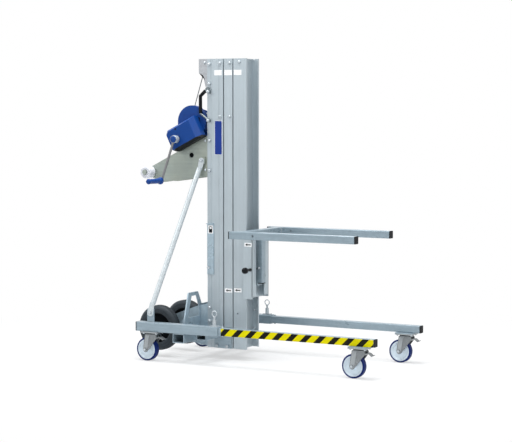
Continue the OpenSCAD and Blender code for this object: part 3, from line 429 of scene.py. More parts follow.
SOFT_EDGES = [
    "right_sleeve", "left_sleeve", "right_leg", "left_leg", "rear_crossbar", "fork_frame", "fork_caps",
    "right_leg_cap", "left_leg_cap", "sleeve_caps", "handle_plate", "carriage_channel", "lock_lever"]


# Meshes


def casters():
    """Name, end and side of each caster."""
    return [(f"{end}_{side}", end, side) for end in ENDS for side in SIDES]


def mm(*points):
    """Outline points given in millimetres."""
    return [(first * MM, second * MM) for first, second in points]


def mirrored(half):
    """Outline of (radius, distance along the axis), completed on the other side of the middle."""
    return half + [(radius, -along) for radius, along in reversed(half)]


def revolve(bm, profile, middle, axis=ACROSS, steps=64, turns=1.0, rise=0.0):
    """Spins an outline of (radius, distance along the axis) round an axis, closed in itself."""
    out = axis.orthogonal().normalized()
    rim = [bm.verts.new(middle + out * radius + axis * along) for radius, along in profile]
    edges = [bm.edges.new(pair) for pair in zip(rim, rim[1:] + rim[:1])]
    bmesh.ops.spin(
        bm, geom=rim + edges, cent=middle, axis=axis, dvec=axis * (rise / steps), angle=math.tau * turns,
        steps=int(steps * turns), use_merge=not rise)
    return bm


def solid_box(bm, low, high, corner=0.0, along=None):
    """Adds a box, with the edges that run along one axis rounded."""
    size = high - low
    grow = Matrix.Translation((low + high) / 2) @ Matrix.Diagonal((*size, 1.0))
    verts = bmesh.ops.create_cube(bm, size=1.0, matrix=grow)["verts"]
    if corner:
        edges = {edge for vert in verts for edge in vert.link_edges}
        ends = [edge for edge in edges
                if abs((edge.verts[1].co - edge.verts[0].co).normalized().dot(along)) > 0.99]
        bmesh.ops.bevel(
            bm, geom=ends, offset=corner, segments=4, profile=0.5, affect="EDGES", material=-1)


def slab(bm, outline, depth):
    """Adds a flat outline and gives it depth."""
    face = bm.faces.new([bm.verts.new(point) for point in outline])
    moved = bmesh.ops.extrude_face_region(bm, geom=[face])["geom"]
    bmesh.ops.translate(bm, vec=depth, verts=[item for item in moved if isinstance(item, bmesh.types.BMVert)])


def hex_bolt(bm, seat, out, radius, height, washer=True):
    """Adds a hexagon head with a domed end and a washer, standing on seat along out."""
    turn = out.to_track_quat("Z", "X").to_matrix().to_4x4()
    rings = [(0.2, 0.62, 1.0, 1.0, 6), (0.62, 0.70, 1.0, 0.84, 6), (0.70, 0.88, 0.62, 0.52, 20),
             (0.88, 1.0, 0.52, 0.22, 20)]
    if washer:
        rings.insert(0, (0.0, 0.2, 1.35, 1.3, 28))
    for foot, top, low_r, high_r, segments in rings:
        move = Matrix.Translation(seat + out * (height * (foot + top) / 2)) @ turn
        bmesh.ops.create_cone(
            bm, cap_ends=True, segments=segments, radius1=low_r * radius, radius2=high_r * radius,
            depth=height * (top - foot), matrix=move)


def dome_bolt(bm, seat, out, radius, height):
    """Adds a hexagon with a domed cap, standing on seat along out."""
    turn = out.to_track_quat("Z", "X").to_matrix().to_4x4()
    flat = 0.35 * height
    move = Matrix.Translation(seat + out * (flat / 2)) @ turn
    bmesh.ops.create_cone(
        bm, cap_ends=True, segments=6, radius1=radius, radius2=radius, depth=flat, matrix=move)
    dome = 0.86 * radius
    profile = [(0.2 * MM, flat), (dome, flat)]
    for step in range(1, 7):
        angle = math.radians(15 * step)
        profile.append((max(dome * math.cos(angle), 0.2 * MM), flat + (height - flat) * math.sin(angle)))
    revolve(bm, profile, seat, out, 28)


def sweep(bm, path, radius, sides=20):
    """Adds a round sleeve along a path with a bend, mitred there and rounded off at both ends."""
    first = (path[0] - path[1]).normalized()
    last = (path[-1] - path[-2]).normalized()
    ease = 0.3 * radius
    stations = [(path[0] + first * ease, first, 0.7 * radius), (path[0], first, radius)]
    for before, here, after in zip(path, path[1:], path[2:]):
        run = (here - before).normalized() + (after - here).normalized()
        stations.append((here, -run.normalized(), radius))
    stations += [(path[-1], -last, radius), (path[-1] + last * ease, -last, 0.7 * radius)]
    side = first.cross((path[2] - path[1]).normalized()).normalized()
    rings = []
    for spot, along, size in stations:
        up = along.cross(side).normalized()
        rings.append([bm.verts.new(spot + size * (math.cos(a) * side + math.sin(a) * up))
                      for a in (math.tau * i / sides for i in range(sides))])
    for low, high in zip(rings, rings[1:]):
        for i in range(sides):
            bm.faces.new((low[i], low[i - 1], high[i - 1], high[i]))
    bm.faces.new(rings[0])
    bm.faces.new(rings[-1][::-1])


def weld_line(bm, start, end, radius):
    """Adds a scalloped weld bead between two points."""
    run = end - start
    count = max(3, int(run.length / (1.1 * radius)))
    for i in range(count):
        spot = start + run * ((i + 0.5) / count)
        bmesh.ops.create_icosphere(bm, subdivisions=1, radius=radius, matrix=Matrix.Translation(spot))


def finish_piece(name, bm, material, body, smooth=True, replaces=()):
    """Makes an object of the mesh, with its finish, and lets it ride on its body."""
    bmesh.ops.remove_doubles(bm, verts=bm.verts, dist=0.002 * MM)
    bmesh.ops.recalc_face_normals(bm, faces=bm.faces)
    mesh = bpy.data.meshes.new(name)
    bm.to_mesh(mesh)
    bm.free()
    mesh.materials.append(finishes()[material])
    piece = bpy.data.objects.new(name, mesh)
    bpy.context.scene.collection.objects.link(piece)
    if smooth:
        mesh.shade_smooth()
        mesh.set_sharp_from_angle(angle=math.radians(32))
    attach(piece, body)
    if replaces:
        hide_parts(*replaces)


def plated(name, bm, body):
    """Makes a piece of plated steel hardware that rides on its body."""
    finish_piece(name, bm, "hardware_zinc", body)


# Operators


class HoistPiece:
    """Base of the operators that dress the hoist."""

    bl_options = {"REGISTER", "UNDO"}

    def execute(self, context):
        self.build()
        return {"FINISHED"}


class HOIST_OT_finish_frame(HoistPiece, bpy.types.Operator):
    """Give every piece of the frame its finish and soften the sawn edges"""

    bl_idname = "hoist.finish_frame"
    bl_label = "Frame Finishes"

    def build(self):
        table = dict(NODE_FINISH)
        # Yokes and brakes take the darkened caster zinc, a painted shade
        table["caster_zinc"] = [f"{name}_{part}" for name, _, _ in casters() for part in CASTER_PARTS]
        made = finishes()
        for finish, nodes in table.items():
            for node in nodes:
                item = frame["nodes"][node]
                item.data.materials.clear()
                item.data.materials.append(made[finish])
        for node in SOFT_EDGES:
            self.soften(frame["nodes"][node])

    def soften(self, item):
        """Closes the loose faces of a node and rounds its edges a little."""
        item.modifiers.new("closed", "WELD").merge_threshold = 0.01 * MM
        bevel = item.modifiers.new("edges", "BEVEL")
        bevel.width = sizes().edge_bevel
        bevel.segments = 2
        bevel.limit_method = "ANGLE"
        bevel.angle_limit = math.radians(50)
        bevel.use_clamp_overlap = True
        bevel.harden_normals = False


class HOIST_OT_caster_wheels(HoistPiece, bpy.types.Operator):
    """Caster wheels with a white core and a blue tread, black rings painted as the shade under their swivel
    plates, and the ridges of their yokes in a lighter zinc, a painted highlight
    """

    bl_idname = "hoist.caster_wheels"
    bl_label = "Caster Wheels"

    RING_FOOT = 148.2
    RIDGE_TOP = 141
    CHEEK_Y = 25.8

    def build(self):
        for name, _, _ in casters():
            middle, radius, hub = round_node(f"{name}_wheel")
            inner = radius - sizes().tread_depth
            self.core(name, middle, inner, hub)
            self.tread(name, middle, radius, inner)
            self.gap_shade(name)
            self.ridges(name, middle)

    def core(self, name, middle, rim, hub):
        """Dished core with a hub, a web and a rim lip."""
        boss = [(radius, hub - inset) for radius, inset in mm((5.2, 0), (12, 0), (14, 2), (15, 8))]
        lip = [(rim - drop, along) for drop, along in mm((12, 8.5), (7, 13), (5, 16.5), (1, 17), (0.2, 16))]
        web = mm((19, 9.5), (26, 8))
        bm = revolve(bmesh.new(), mirrored(boss + web + lip), middle)
        finish_piece(f"{name}_wheel_core", bm, "wheel_nylon", f"{name}_caster_wheel",
                     replaces=[f"{name}_wheel"])

    def tread(self, name, middle, radius, inner):
        """Moulded tread with rounded shoulders and a parting groove on each side."""
        groove = mm((0, 16), (2, 17.2), (2.6, 16.6), (3.2, 17.6))
        half = [(inner + rise, along) for rise, along in groove]
        shoulder = 6 * MM
        flank = 18 * MM
        for step in range(7):
            turn = math.radians(15 * step)
            half.append((radius - shoulder + shoulder * math.sin(turn),
                         flank - shoulder + shoulder * math.cos(turn)))
        bm = revolve(bmesh.new(), mirrored(half), middle, steps=96)
        finish_piece(f"{name}_wheel_tread", bm, "tread_urethane", f"{name}_caster_wheel")

    def gap_shade(self, name):
        """Black ring round the swivel's race, under the plate: painted shade of the gap between the plate and
        the yoke.
        """
        pivot = joint_at(f"{name}_swivel_turn")
        seat = Vector((pivot.x, pivot.y, self.RING_FOOT * MM))
        profile = mm((30.4, 0), (34.5, 0), (35.5, 1.5), (35.5, 4.2), (34.5, 5.4), (30.4, 5.4))
        bm = revolve(bmesh.new(), profile, seat, UP, 48)
        finish_piece(f"{name}_gap_shade_ring", bm, "cap_plastic", f"{name}_swivel")

    def ridges(self, name, axle):
        """Pressed ridge down both cheeks of the yoke, round below the axle."""
        pivot = joint_at(f"{name}_swivel_turn")
        radius = 12 * MM
        height = 2 * MM
        top = self.RIDGE_TOP * MM
        turns = [math.radians(180 + 15 * step) for step in range(12)]
        foot = [(axle.x + radius * math.cos(turn), axle.z + radius * math.sin(turn)) for turn in turns]
        outline = [(pivot.x - 31 * MM, top)] + foot + [(pivot.x - 7 * MM, top)]
        seat = self.CHEEK_Y * MM
        bm = bmesh.new()
        for hand in SIDES.values():
            slab(bm, [Vector((x, axle.y + hand * seat, z)) for x, z in outline], ACROSS * hand * height)
        rims = [edge for edge in bm.edges
                if all(abs(vert.co.y - axle.y) > seat + height / 2 for vert in edge.verts)]
        bmesh.ops.bevel(
            bm, geom=rims, offset=1.2 * MM, segments=2, profile=0.5, affect="EDGES", material=-1)
        # The ridges wear the lightened caster zinc as a painted highlight
        finish_piece(f"{name}_yoke_ridges", bm, "painted_lit_caster_zinc", f"{name}_swivel")


class HOIST_OT_transport_wheels(HoistPiece, bpy.types.Operator):
    """Transport tyres with ribbed treads and stepped sidewalls"""

    bl_idname = "hoist.transport_wheels"
    bl_label = "Transport Wheels"

    def build(self):
        for side in SIDES:
            self.tyre(side, *round_node(f"{side}_tyre"))

    def tyre(self, side, middle, radius, half_width):
        """Tyre cross-section with rim flange, sidewall ring, shoulder and four tread grooves."""
        rim = radius - 44 * MM
        wall = mm((0, 8), (3, 5), (10, 3), (11, 1), (14, 1), (15, 2), (26, 0), (33, 3), (38, 8), (41.5, 14))
        half = [(rim + rise, half_width - inset) for rise, inset in wall]
        crown = radius - 0.2 * MM
        bottom = crown - 3.5 * MM
        for groove in (11 * MM, 3 * MM):
            half += [(crown, groove + 3 * MM), (bottom, groove + 2 * MM), (bottom, groove),
                     (crown, groove - 1 * MM)]
        bm = revolve(bmesh.new(), mirrored(half), middle, steps=96)
        finish_piece(f"{side}_tyre_ribbed", bm, "tyre_rubber", f"{side}_transport_wheel",
                     replaces=[f"{side}_tyre"])


class HOIST_OT_bolts(HoistPiece, bpy.types.Operator):
    """Bolts with domed caps on the mast, the brackets, the legs, the fork and the casters"""

    bl_idname = "hoist.bolts"
    bl_label = "Bolts"

    # Distance from the mid plane, share of the bolt size, height, and x and z of each bolt
    MAST_ROWS = (
        (77, 1.0, 9, ((14, 1600), (14, 1494), (14, 1188), (14, 1026), (14, 279), (14, 206))),
        (92, 1.0, 9, ((14, 1452), (14, 1297))),
        (73, 0.9, 9, ((79, 1605), (79, 1319))),
        (69, 0.8, 8, ((-17, 1609), (-15, 1188), (-15, 1029))))
    SECTION_Y = 72.5
    MIDDLE_FACE = ((139, 1605), (139, 1319))
    INNER_FACE = ((198, 1610),)
    CHANNEL_BOLTS = ((213, 1623.5, 4.8), (213, 262, 6.5), (213, 164, 6.5))
    CHANNEL_Y = 68.5
    FOOT_BOLTS = ((63, 74), (126, 74))
    FOOT_Y = 82
    NUT_Y = 32
    STRUT_BOLTS = ((-31, -89, 1079), (-224, -309, 260))
    LEVER_PIN = (10, -82, 498)
    FORK_POST_BOLT = (291, -20, 504)

    def build(self):
        self.mast_bolts()
        self.section_bolts()
        self.leg_bolts()
        self.caster_bolts()

    def mast_bolts(self):
        """Bolts of the fixed section, on both sides, and those of the brackets, the strut and the lever."""
        bm = bmesh.new()
        size = sizes().bolt_size
        for hand in SIDES.values():
            out = ACROSS * hand
            for y, share, height, spots in self.MAST_ROWS:
                for x, z in spots:
                    dome_bolt(bm, at(x, hand * y, z), out, share * size, height * MM)
            for x, z in self.FOOT_BOLTS:
                hex_bolt(bm, at(x, hand * self.FOOT_Y, z), out, size, 8 * MM, False)
        for spot in self.STRUT_BOLTS:
            hex_bolt(bm, at(*spot), -ACROSS, size, 9 * MM, False)
        hex_bolt(bm, at(*self.LEVER_PIN), -ACROSS, 0.85 * size, 8 * MM, False)
        plated("mast_bolts", bm, "base")

    def section_bolts(self):
        """Domed bolts on the sliding sections, in the front channel and on the fork post."""
        size = 0.9 * sizes().bolt_size
        for body, spots in (("middle", self.MIDDLE_FACE), ("inner", self.INNER_FACE)):
            bm = bmesh.new()
            for hand in SIDES.values():
                out = ACROSS * hand
                for x, z in spots:
                    dome_bolt(bm, at(x, hand * self.SECTION_Y, z), out, size, 9 * MM)
                if body == "inner":
                    for x, z, radius in self.CHANNEL_BOLTS:
                        dome_bolt(bm, at(x, hand * self.CHANNEL_Y, z), -out, radius * MM, 6 * MM)
            plated(f"{body}_section_bolts", bm, body)
        bm = bmesh.new()
        dome_bolt(bm, at(*self.FORK_POST_BOLT), -ACROSS, 7.5 * MM, 8 * MM)
        plated("fork_post_bolt", bm, "fork")

    def leg_bolts(self):
        """Stop bolts of each leg, above and below, in front of its sleeve."""
        for side in SIDES:
            low, high = corners(f"{side}_leg_cap")
            middle = (low + high) / 2
            bm = bmesh.new()
            for face, out in ((high.z, UP), (low.z, DOWN)):
                dome_bolt(bm, Vector((SLEEVE_MOUTH, middle.y, face)), out, 6.5 * MM, 7 * MM)
            plated(f"{side}_leg_stops", bm, f"{side}_leg")

    def caster_bolts(self):
        """Plate bolts and axle nuts of the casters."""
        for name, end, side in casters():
            plate = "rear_caster_plates" if end == "rear" else f"{side}_front_caster_plate"
            low, high = corners(plate)
            axle = centre(f"{name}_wheel")
            inset = 10 * MM
            half_y = 30 * MM
            foot = high.z - 6 * MM
            bm = bmesh.new()
            for x in (low.x + inset, high.x - inset):
                for y in (axle.y - half_y, axle.y + half_y):
                    hex_bolt(bm, Vector((x, y, foot)), DOWN, 6.5 * MM, 7 * MM)
            body = "base" if end == "rear" else f"{side}_leg"
            plated(f"{name}_plate_bolts", bm, body)
            bm = bmesh.new()
            for out in (ACROSS, -ACROSS):
                hex_bolt(bm, axle + out * self.NUT_Y * MM, out, 8 * MM, 8 * MM, False)
            plated(f"{name}_axle_nuts", bm, f"{name}_swivel")


class HOIST_OT_winch(HoistPiece, bpy.types.Operator):
    """Wound drum, crank cap and the small parts of the winch housing, with black discs painted as the shade
    in the holes
    """

    bl_idname = "hoist.winch"
    bl_label = "Winch"

    HUB_END = -172
    HOLE_AT = (-166, -135, 1250)
    SLOT_AT = (-53, -72, 1309)
    SLOT_FOOT = ((-57, 1307), (-49, 1307), (-45, 1293), (-51, 1292))
    HOLE_SHADE_AT = (-102, 66.5, 1108)

    def build(self):
        self.drum()
        self.crank_cap()
        self.grip_cap()
        self.housing_hole_shades()
        self.sheet_hole_shades()

    def drum(self):
        """Drum with its flanges, and the rope wound on it."""
        middle, flange_r, _ = round_node("rope_drum")
        rope = sizes().rope_radius
        wrap_r = flange_r - 13 * MM
        core_r = wrap_r - 2 * rope
        shaft = mm((0.5, 42.9), (9, 42.9), (9, 34))
        flange = [(flange_r - drop, along) for drop, along in mm((1, 34), (0, 33), (0, 30), (1, 29))]
        half = shaft + flange + [(core_r, 29 * MM)]
        bm = revolve(bmesh.new(), mirrored(half), middle, steps=72)
        finish_piece("drum_body", bm, "hardware_zinc", "drum", replaces=["rope_drum"])
        reach = 28 * MM
        lay = 2.04 * rope
        turns = int(2 * reach / lay)
        ring = [(wrap_r - rope + rope * math.cos(a), -reach + rope + rope * math.sin(a))
                for a in (math.tau * i / 8 for i in range(8))]
        bm = revolve(bmesh.new(), ring, middle, steps=48, turns=turns, rise=lay)
        finish_piece("drum_rope", bm, "rope_wire", "drum")

    def crank_cap(self):
        """Rounded cap on the end of the crank hub, and the collar round the hub."""
        axis_at = joint_at("crank_turn")
        seat = Vector((axis_at.x, self.HUB_END * MM, axis_at.z))
        profile = mm((0.2, -5), (13, -4.6), (16.5, -3.4), (18, -1), (18.2, 0), (0.2, 0))
        bm = revolve(bmesh.new(), profile, seat, steps=40)
        finish_piece("crank_cap", bm, "grip_paint", "crank")
        ring = mm((20.1, 0), (21, 0.8), (21.4, 3), (21.4, 30), (20.1, 30))
        bm = revolve(bmesh.new(), ring, seat, steps=48)
        finish_piece("crank_collar", bm, "hardware_zinc", "crank")

    def grip_cap(self):
        """Domed cap over the washer at the free end of the crank's pin."""
        low, _ = corners("crank")
        axis_at = joint_at("crank_grip_turn")
        seat = Vector((axis_at.x, low.y, axis_at.z))
        profile = mm((0.2, -3), (7, -2.6), (10, -1), (10.6, 1), (10.6, 3.8), (9.2, 3.8), (9.2, -0.2),
                     (0.2, -0.2))
        bm = revolve(bmesh.new(), profile, seat, steps=40)
        finish_piece("crank_pin_cap", bm, "grip_paint", "crank")

    def housing_hole_shades(self):
        """Black discs painted as the shade inside a hole in the face of the gear housing and a slot in the
        round cover.
        """
        bm = bmesh.new()
        self.disc(bm, at(*self.HOLE_AT), 5)
        self.disc(bm, at(*self.SLOT_AT), 5.5)
        slab(bm, [at(x, self.SLOT_AT[1], z) for x, z in self.SLOT_FOOT], -ACROSS * 0.3 * MM)
        finish_piece("housing_hole_shades", bm, "label_ink", "base")

    def sheet_hole_shades(self):
        """Black discs in the round holes of the bracket's two sheets: painted shade of the dark inside seen
        through them.
        """
        bm = bmesh.new()
        profile = mm((0.2, 0), (13.6, 0), (13.6, 0.8), (12, 1.6), (0.2, 1.6))
        x, y, z = self.HOLE_SHADE_AT
        for hand in SIDES.values():
            revolve(bm, profile, at(x, hand * y, z), ACROSS * hand, 40)
        finish_piece("sheet_hole_shades", bm, "rim_plastic", "base")

    def disc(self, bm, seat, radius):
        """Adds a low round disc with a sunk middle, its radius in millimetres; it stands for the shade inside
        a hole.
        """
        profile = mm((0.2, 0), (radius, 0), (radius, -0.4), (0.8 * radius, -0.4), (0.7 * radius, -0.1),
                     (0.2, -0.1))
        revolve(bm, profile, seat, steps=32)


class HOIST_OT_sheets(HoistPiece, bpy.types.Operator):
    """Folded lips of the carriage, tails of the mast head and foam of the grab handles"""

    bl_idname = "hoist.sheets"
    bl_label = "Lips, Tails and Foam"

    GRAB_Y = 81
    ROUTE = ((-7, 1456.5), (-38, 1429), (-38, 1338))
    LIP_Y = (47, 93)
    TAIL_Y = 69
    TAIL = ((-55, 66), (-55, 74), (-28, 89), (-14, 150), (0, 150), (-14, 117))

    def build(self):
        self.carriage_lips()
        self.head_tails()
        self.foam()

    def carriage_lips(self):
        """Lips that turn in from the carriage's cheeks, in front of the fork holder."""
        low, high = corners("carriage_channel")
        bm = bmesh.new()
        for hand in SIDES.values():
            y0, y1 = sorted(hand * y * MM for y in self.LIP_Y)
            foot = Vector((high.x - 5 * MM, y0, low.z + 12 * MM))
            solid_box(bm, foot, Vector((high.x, y1, high.z)), 1.5 * MM, UP)
        finish_piece("carriage_lips", bm, "carriage_aluminium", "carriage")

    def head_tails(self):
        """Lower rear edges of the mast head's two sheets, measured down from the top."""
        top = MAST_HIGH.z / MM
        bm = bmesh.new()
        for hand in SIDES.values():
            outline = [at(x, hand * self.TAIL_Y, top - drop) for x, drop in self.TAIL]
            slab(bm, outline, -ACROSS * hand * 4 * MM)
        finish_piece("head_tails", bm, "head_zinc", "base", False)

    def foam(self):
        """Foam sleeves round the bent bars of the grab handles."""
        bm = bmesh.new()
        for hand in SIDES.values():
            route = [at(x, hand * self.GRAB_Y, z) for x, z in self.ROUTE]
            sweep(bm, route, sizes().foam_radius)
        finish_piece("grab_foam", bm, "grip_foam", "base", replaces=["grab_handle_grips"])


class HOIST_OT_labels(HoistPiece, bpy.types.Operator):
    """Marking tape, blank plate and plain stickers"""

    bl_idname = "hoist.labels"
    bl_label = "Tape and Labels"

    TAPE_Z = (166, 204)
    TOP_Z = (1540, 1568)
    TOP_SPOTS = (("fixed", "base", 44, -73), ("middle", "middle", 106, -72.5), ("inner", "inner", 165, -72.5))
    ARROW_SPOTS = (("middle", 107, -72.5, 367), ("inner", 166, -72.5, 371), ("carriage", 240, -93, 622))
    ARROW = ((6, 11), (18, 18), (18, 13.6), (39, 13.6), (39, 8.4), (18, 8.4), (18, 4))
    LEVER_Y = -77.3

    def build(self):
        self.tape()
        self.plate()
        self.top_stickers()
        self.arrows()
        self.lock_sign()

    def sticker(self, name, low, high, material, body, corner=2.0):
        """Thin rounded sheet on a side face, from one corner to the other, standing out to -y."""
        bm = bmesh.new()
        outer = Vector((low.x, low.y - sizes().label_thickness, low.z))
        solid_box(bm, outer, Vector((high.x, low.y, high.z)), corner * MM, ACROSS)
        finish_piece(name, bm, material, body, False)

    def tape(self):
        """Striped tape on the outer face of each leg."""
        for side, hand in SIDES.items():
            _, high = corners(f"{side}_leg")
            outer = centre(f"{side}_leg_cap").y + hand * 20 * MM
            y0, y1 = sorted((outer, outer + hand * sizes().tape_thickness))
            z0, z1 = (z * MM for z in self.TAPE_Z)
            bm = bmesh.new()
            solid_box(bm, Vector((SLEEVE_MOUTH, y0, z0)), Vector((high.x - 1 * MM, y1, z1)))
            finish_piece(f"{side}_leg_tape", bm, "marking_tape", f"{side}_leg", False)

    def plate(self):
        """Blank blue plate with a pale rim on the fixed section."""
        self.sticker("mast_plate_rim", at(46, -73, 1112), at(92, -73, 1296), "label_film", "base", 3.0)
        self.sticker(
            "mast_plate", at(47.5, -73.3, 1113.5), at(90.5, -73.3, 1294.5), "plate_film", "base", 2.5)

    def top_stickers(self):
        """Blank white stickers near the top of each section."""
        low, high = self.TOP_Z
        for name, body, x, y in self.TOP_SPOTS:
            self.sticker(f"{name}_sticker", at(x, y, low), at(x + 47, y, high), "label_film", body)

    def arrows(self):
        """White stickers with a plain arrow to the rear."""
        for body, x, y, z in self.ARROW_SPOTS:
            self.sticker(f"{body}_arrow_sticker", at(x, y, z), at(x + 46, y, z + 22), "label_film", body)
            outline = [at(x + along, y - 0.3, z + rise) for along, rise in self.ARROW]
            bm = bmesh.new()
            slab(bm, outline, -ACROSS * 0.15 * MM)
            finish_piece(f"{body}_arrow", bm, "label_ink", body, False)

    def lock_sign(self):
        """White sticker with a plain padlock sign on the lock lever."""
        y = self.LEVER_Y
        self.sticker("lever_sticker", at(6, y, 684), at(38, y, 729), "label_film", "lever")
        front = y - 0.45
        back = y - 0.3
        bm = bmesh.new()
        solid_box(bm, at(12, front, 689), at(32, back, 708), 2 * MM, ACROSS)
        revolve(bm, mm((7.5, 0), (10, 0), (10, 0.15), (7.5, 0.15)), at(22, front, 714), steps=32)
        for x in (12, 29.5):
            solid_box(bm, at(x, front, 707), at(x + 2.5, back, 714))
        finish_piece("lever_padlock", bm, "label_ink", "lever", False)


class HOIST_OT_welds(HoistPiece, bpy.types.Operator):
    """Weld beads of the fork, the sleeves and the handle plate"""

    bl_idname = "hoist.welds"
    bl_label = "Weld Beads"

    BAR_X = (270, 310)
    BAR_Z = (672, 711)
    ARM_Y = 198
    POST_Y = 20
    LUG = ((-246, -301, 210), (-202, -301, 210))
    BRACKET_X = (45, 105)
    BRACKET_TOP = 178
    BRACKET_ENDS = ((78, 130, 176), (270, 161, 177))
    PLATE_X = (-58, -50)
    PLATE_Y = (80, 232)
    PLATE_Z = 160

    def build(self):
        self.fork_welds()
        self.base_welds()

    def fork_welds(self):
        """Beads where the cross bar meets the arms and the post."""
        radius = sizes().bead_radius
        rear, front = self.BAR_X
        foot, top = self.BAR_Z
        post = self.POST_Y
        bm = bmesh.new()
        for y in (-self.ARM_Y, self.ARM_Y):
            for x in self.BAR_X:
                weld_line(bm, at(x, y, foot + 1), at(x, y, top), radius)
        for x in self.BAR_X:
            weld_line(bm, at(x, -post, foot), at(x, post, foot), radius)
        for y in (-self.ARM_Y, -post, post, self.ARM_Y):
            weld_line(bm, at(rear, y, foot), at(front, y, foot), radius)
        plated("fork_welds", bm, "fork")

    def base_welds(self):
        """Beads of the strut lug, the side brackets and the handle plate."""
        radius = sizes().bead_radius
        rear, front = self.BRACKET_X
        level = self.BRACKET_TOP
        near, far = self.PLATE_Y
        bm = bmesh.new()
        weld_line(bm, *(at(*spot) for spot in self.LUG), radius)
        for hand in SIDES.values():
            for y, low, high in self.BRACKET_ENDS:
                for x in self.BRACKET_X:
                    weld_line(bm, at(x, hand * y, low), at(x, hand * y, high), radius)
                weld_line(bm, at(rear + 3, hand * y, level), at(front - 3, hand * y, level), radius)
            for x in self.PLATE_X:
                weld_line(bm, at(x, hand * near, self.PLATE_Z), at(x, hand * far, self.PLATE_Z), radius)
        plated("base_welds", bm, "base")


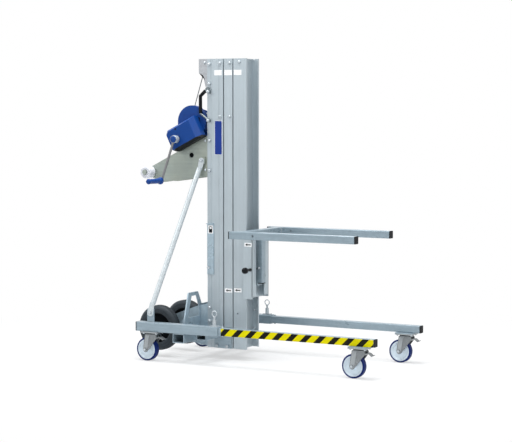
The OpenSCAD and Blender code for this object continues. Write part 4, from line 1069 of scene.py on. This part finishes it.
class HOIST_OT_stage(HoistPiece, bpy.types.Operator):
    """Floor, white surroundings, lamps and the camera"""

    bl_idname = "hoist.stage"
    bl_label = "Stage"

    CAMERA_AT = (4.031, -7.555, 1.330)
    CAMERA_YAW = 28.63
    CAMERA_PITCH = 3.82
    CAMERA_LENS = 112.3

    def build(self):
        scene = bpy.context.scene
        scene.view_settings.view_transform = "Standard"
        self.floor()
        self.surroundings(scene)
        self.lamps()
        self.camera(scene)

    def seen(self, tree):
        """1 on rays from the camera, and on those that a glossy or clear surface sends on."""
        rays = tree.add("LightPath").outputs
        total = rays["Is Camera Ray"]
        for name in ("Is Glossy Ray", "Is Transmission Ray"):
            total = tree.math("MAXIMUM", total, rays[name])
        return total

    def floor(self):
        """Pale floor that keeps a soft shadow."""
        bm = bmesh.new()
        bmesh.ops.create_grid(bm, x_segments=1, y_segments=1, size=30.0)
        mesh = bpy.data.meshes.new("studio_floor")
        bm.to_mesh(mesh)
        bm.free()
        floor = bpy.data.objects.new("studio_floor", mesh)
        floor.location.z = -0.5 * MM
        bpy.context.scene.collection.objects.link(floor)
        material = bpy.data.materials.new("studio_floor")
        tree = Tree(material)
        diffuse = tree.add("BsdfDiffuse", Color=paint("floor"))
        glow = tree.add("Emission")
        mix = tree.add("MixShader")
        tree.join(tree.math("MULTIPLY", self.seen(tree), self.fade(tree)), mix.inputs["Fac"])
        tree.join(diffuse.outputs["BSDF"], mix.inputs[1])
        tree.join(glow.outputs["Emission"], mix.inputs[2])
        tree.join(mix.outputs["Shader"], tree.nodes["Material Output"].inputs["Surface"])
        mesh.materials.append(material)

    def fade(self, tree):
        """Share of plain white, growing from the hoist to the edge of its shadow."""
        coords = tree.add("TexCoord")
        length = tree.add("VectorMath")
        length.operation = "LENGTH"
        tree.join(coords.outputs["Object"], length.inputs[0])
        spread = tree.add("MapRange", From_Min=0.7, From_Max=2.4, To_Min=0.55, To_Max=1.0)
        spread.interpolation_type = "SMOOTHSTEP"
        tree.join(length.outputs["Value"], spread.inputs["Value"])
        return spread.outputs["Result"]

    def surroundings(self, scene):
        """World that is seen as plain white and lights the hoist less brightly."""
        scene.world = bpy.data.worlds.new("studio")
        tree = Tree(scene.world)
        back = tree.nodes["Background"]
        back.inputs["Color"].default_value = (1.0, 1.0, 1.0, 1.0)
        tree.join(tree.spread(self.seen(tree), 0.36, 1.0, 0.0, 1.0), back.inputs["Strength"])

    def lamp(self, name, place, aim, size, power):
        """Large soft lamp aimed at a point."""
        data = bpy.data.lights.new(name, "AREA")
        data.shape = "DISK"
        data.size = size
        data.energy = power
        lamp = bpy.data.objects.new(name, data)
        lamp.location = place
        lamp.rotation_euler = (Vector(aim) - Vector(place)).to_track_quat("-Z", "Y").to_euler()
        bpy.context.scene.collection.objects.link(lamp)

    def lamps(self):
        """Soft light from above, and a weaker lamp on each side of the camera."""
        self.lamp("overhead", (-0.2, -0.4, 4.8), (0.0, 0.0, 0.5), 3.4, 270)
        self.lamp("key", (-4.2, -4.2, 3.8), (0.0, 0.0, 0.8), 2.0, 60)
        self.lamp("fill", (3.8, -4.0, 4.3), (0.0, 0.0, 0.9), 2.2, 80)

    def camera(self, scene):
        """Camera at the photograph's place."""
        data = bpy.data.cameras.new("camera")
        data.lens = self.CAMERA_LENS
        data.sensor_width = 36.0
        data.clip_end = 100.0
        camera = bpy.data.objects.new("camera", data)
        camera.location = self.CAMERA_AT
        camera.rotation_euler = (math.radians(90 - self.CAMERA_PITCH), 0.0, math.radians(self.CAMERA_YAW))
        scene.collection.objects.link(camera)
        scene.camera = camera


class HOIST_PT_panel(bpy.types.Panel):
    """Sizes, colours and steps of the material hoist"""

    bl_idname = "HOIST_PT_panel"
    bl_label = "Material Hoist"
    bl_space_type = "VIEW_3D"
    bl_region_type = "UI"
    bl_category = "Hoist"

    def draw(self, context):
        for group in (context.scene.hoist_sizes, context.scene.hoist_colours):
            column = self.layout.column()
            for name in group.__annotations__:
                column.prop(group, name)
        for operator in STEPS:
            self.layout.operator(operator.bl_idname)


STEPS = (
    HOIST_OT_finish_frame, HOIST_OT_caster_wheels, HOIST_OT_transport_wheels, HOIST_OT_bolts, HOIST_OT_winch,
    HOIST_OT_sheets, HOIST_OT_labels, HOIST_OT_welds, HOIST_OT_stage)
CLASSES = (HoistSizes, HoistColours, *STEPS, HOIST_PT_panel)


def register():
    """Registers the classes and the scene's settings."""
    for item in CLASSES:
        bpy.utils.register_class(item)
    bpy.types.Scene.hoist_sizes = bpy.props.PointerProperty(type=HoistSizes)
    bpy.types.Scene.hoist_colours = bpy.props.PointerProperty(type=HoistColours)


def unregister():
    """Removes the settings and the classes."""
    del bpy.types.Scene.hoist_colours
    del bpy.types.Scene.hoist_sizes
    for item in reversed(CLASSES):
        bpy.utils.unregister_class(item)


def main():
    """Dresses the hoist step by step."""
    register()
    bpy.ops.hoist.finish_frame()
    bpy.ops.hoist.caster_wheels()
    bpy.ops.hoist.transport_wheels()
    bpy.ops.hoist.bolts()
    bpy.ops.hoist.winch()
    bpy.ops.hoist.sheets()
    bpy.ops.hoist.labels()
    bpy.ops.hoist.welds()
    bpy.ops.hoist.stage()


if __name__ == "__main__":
    main()
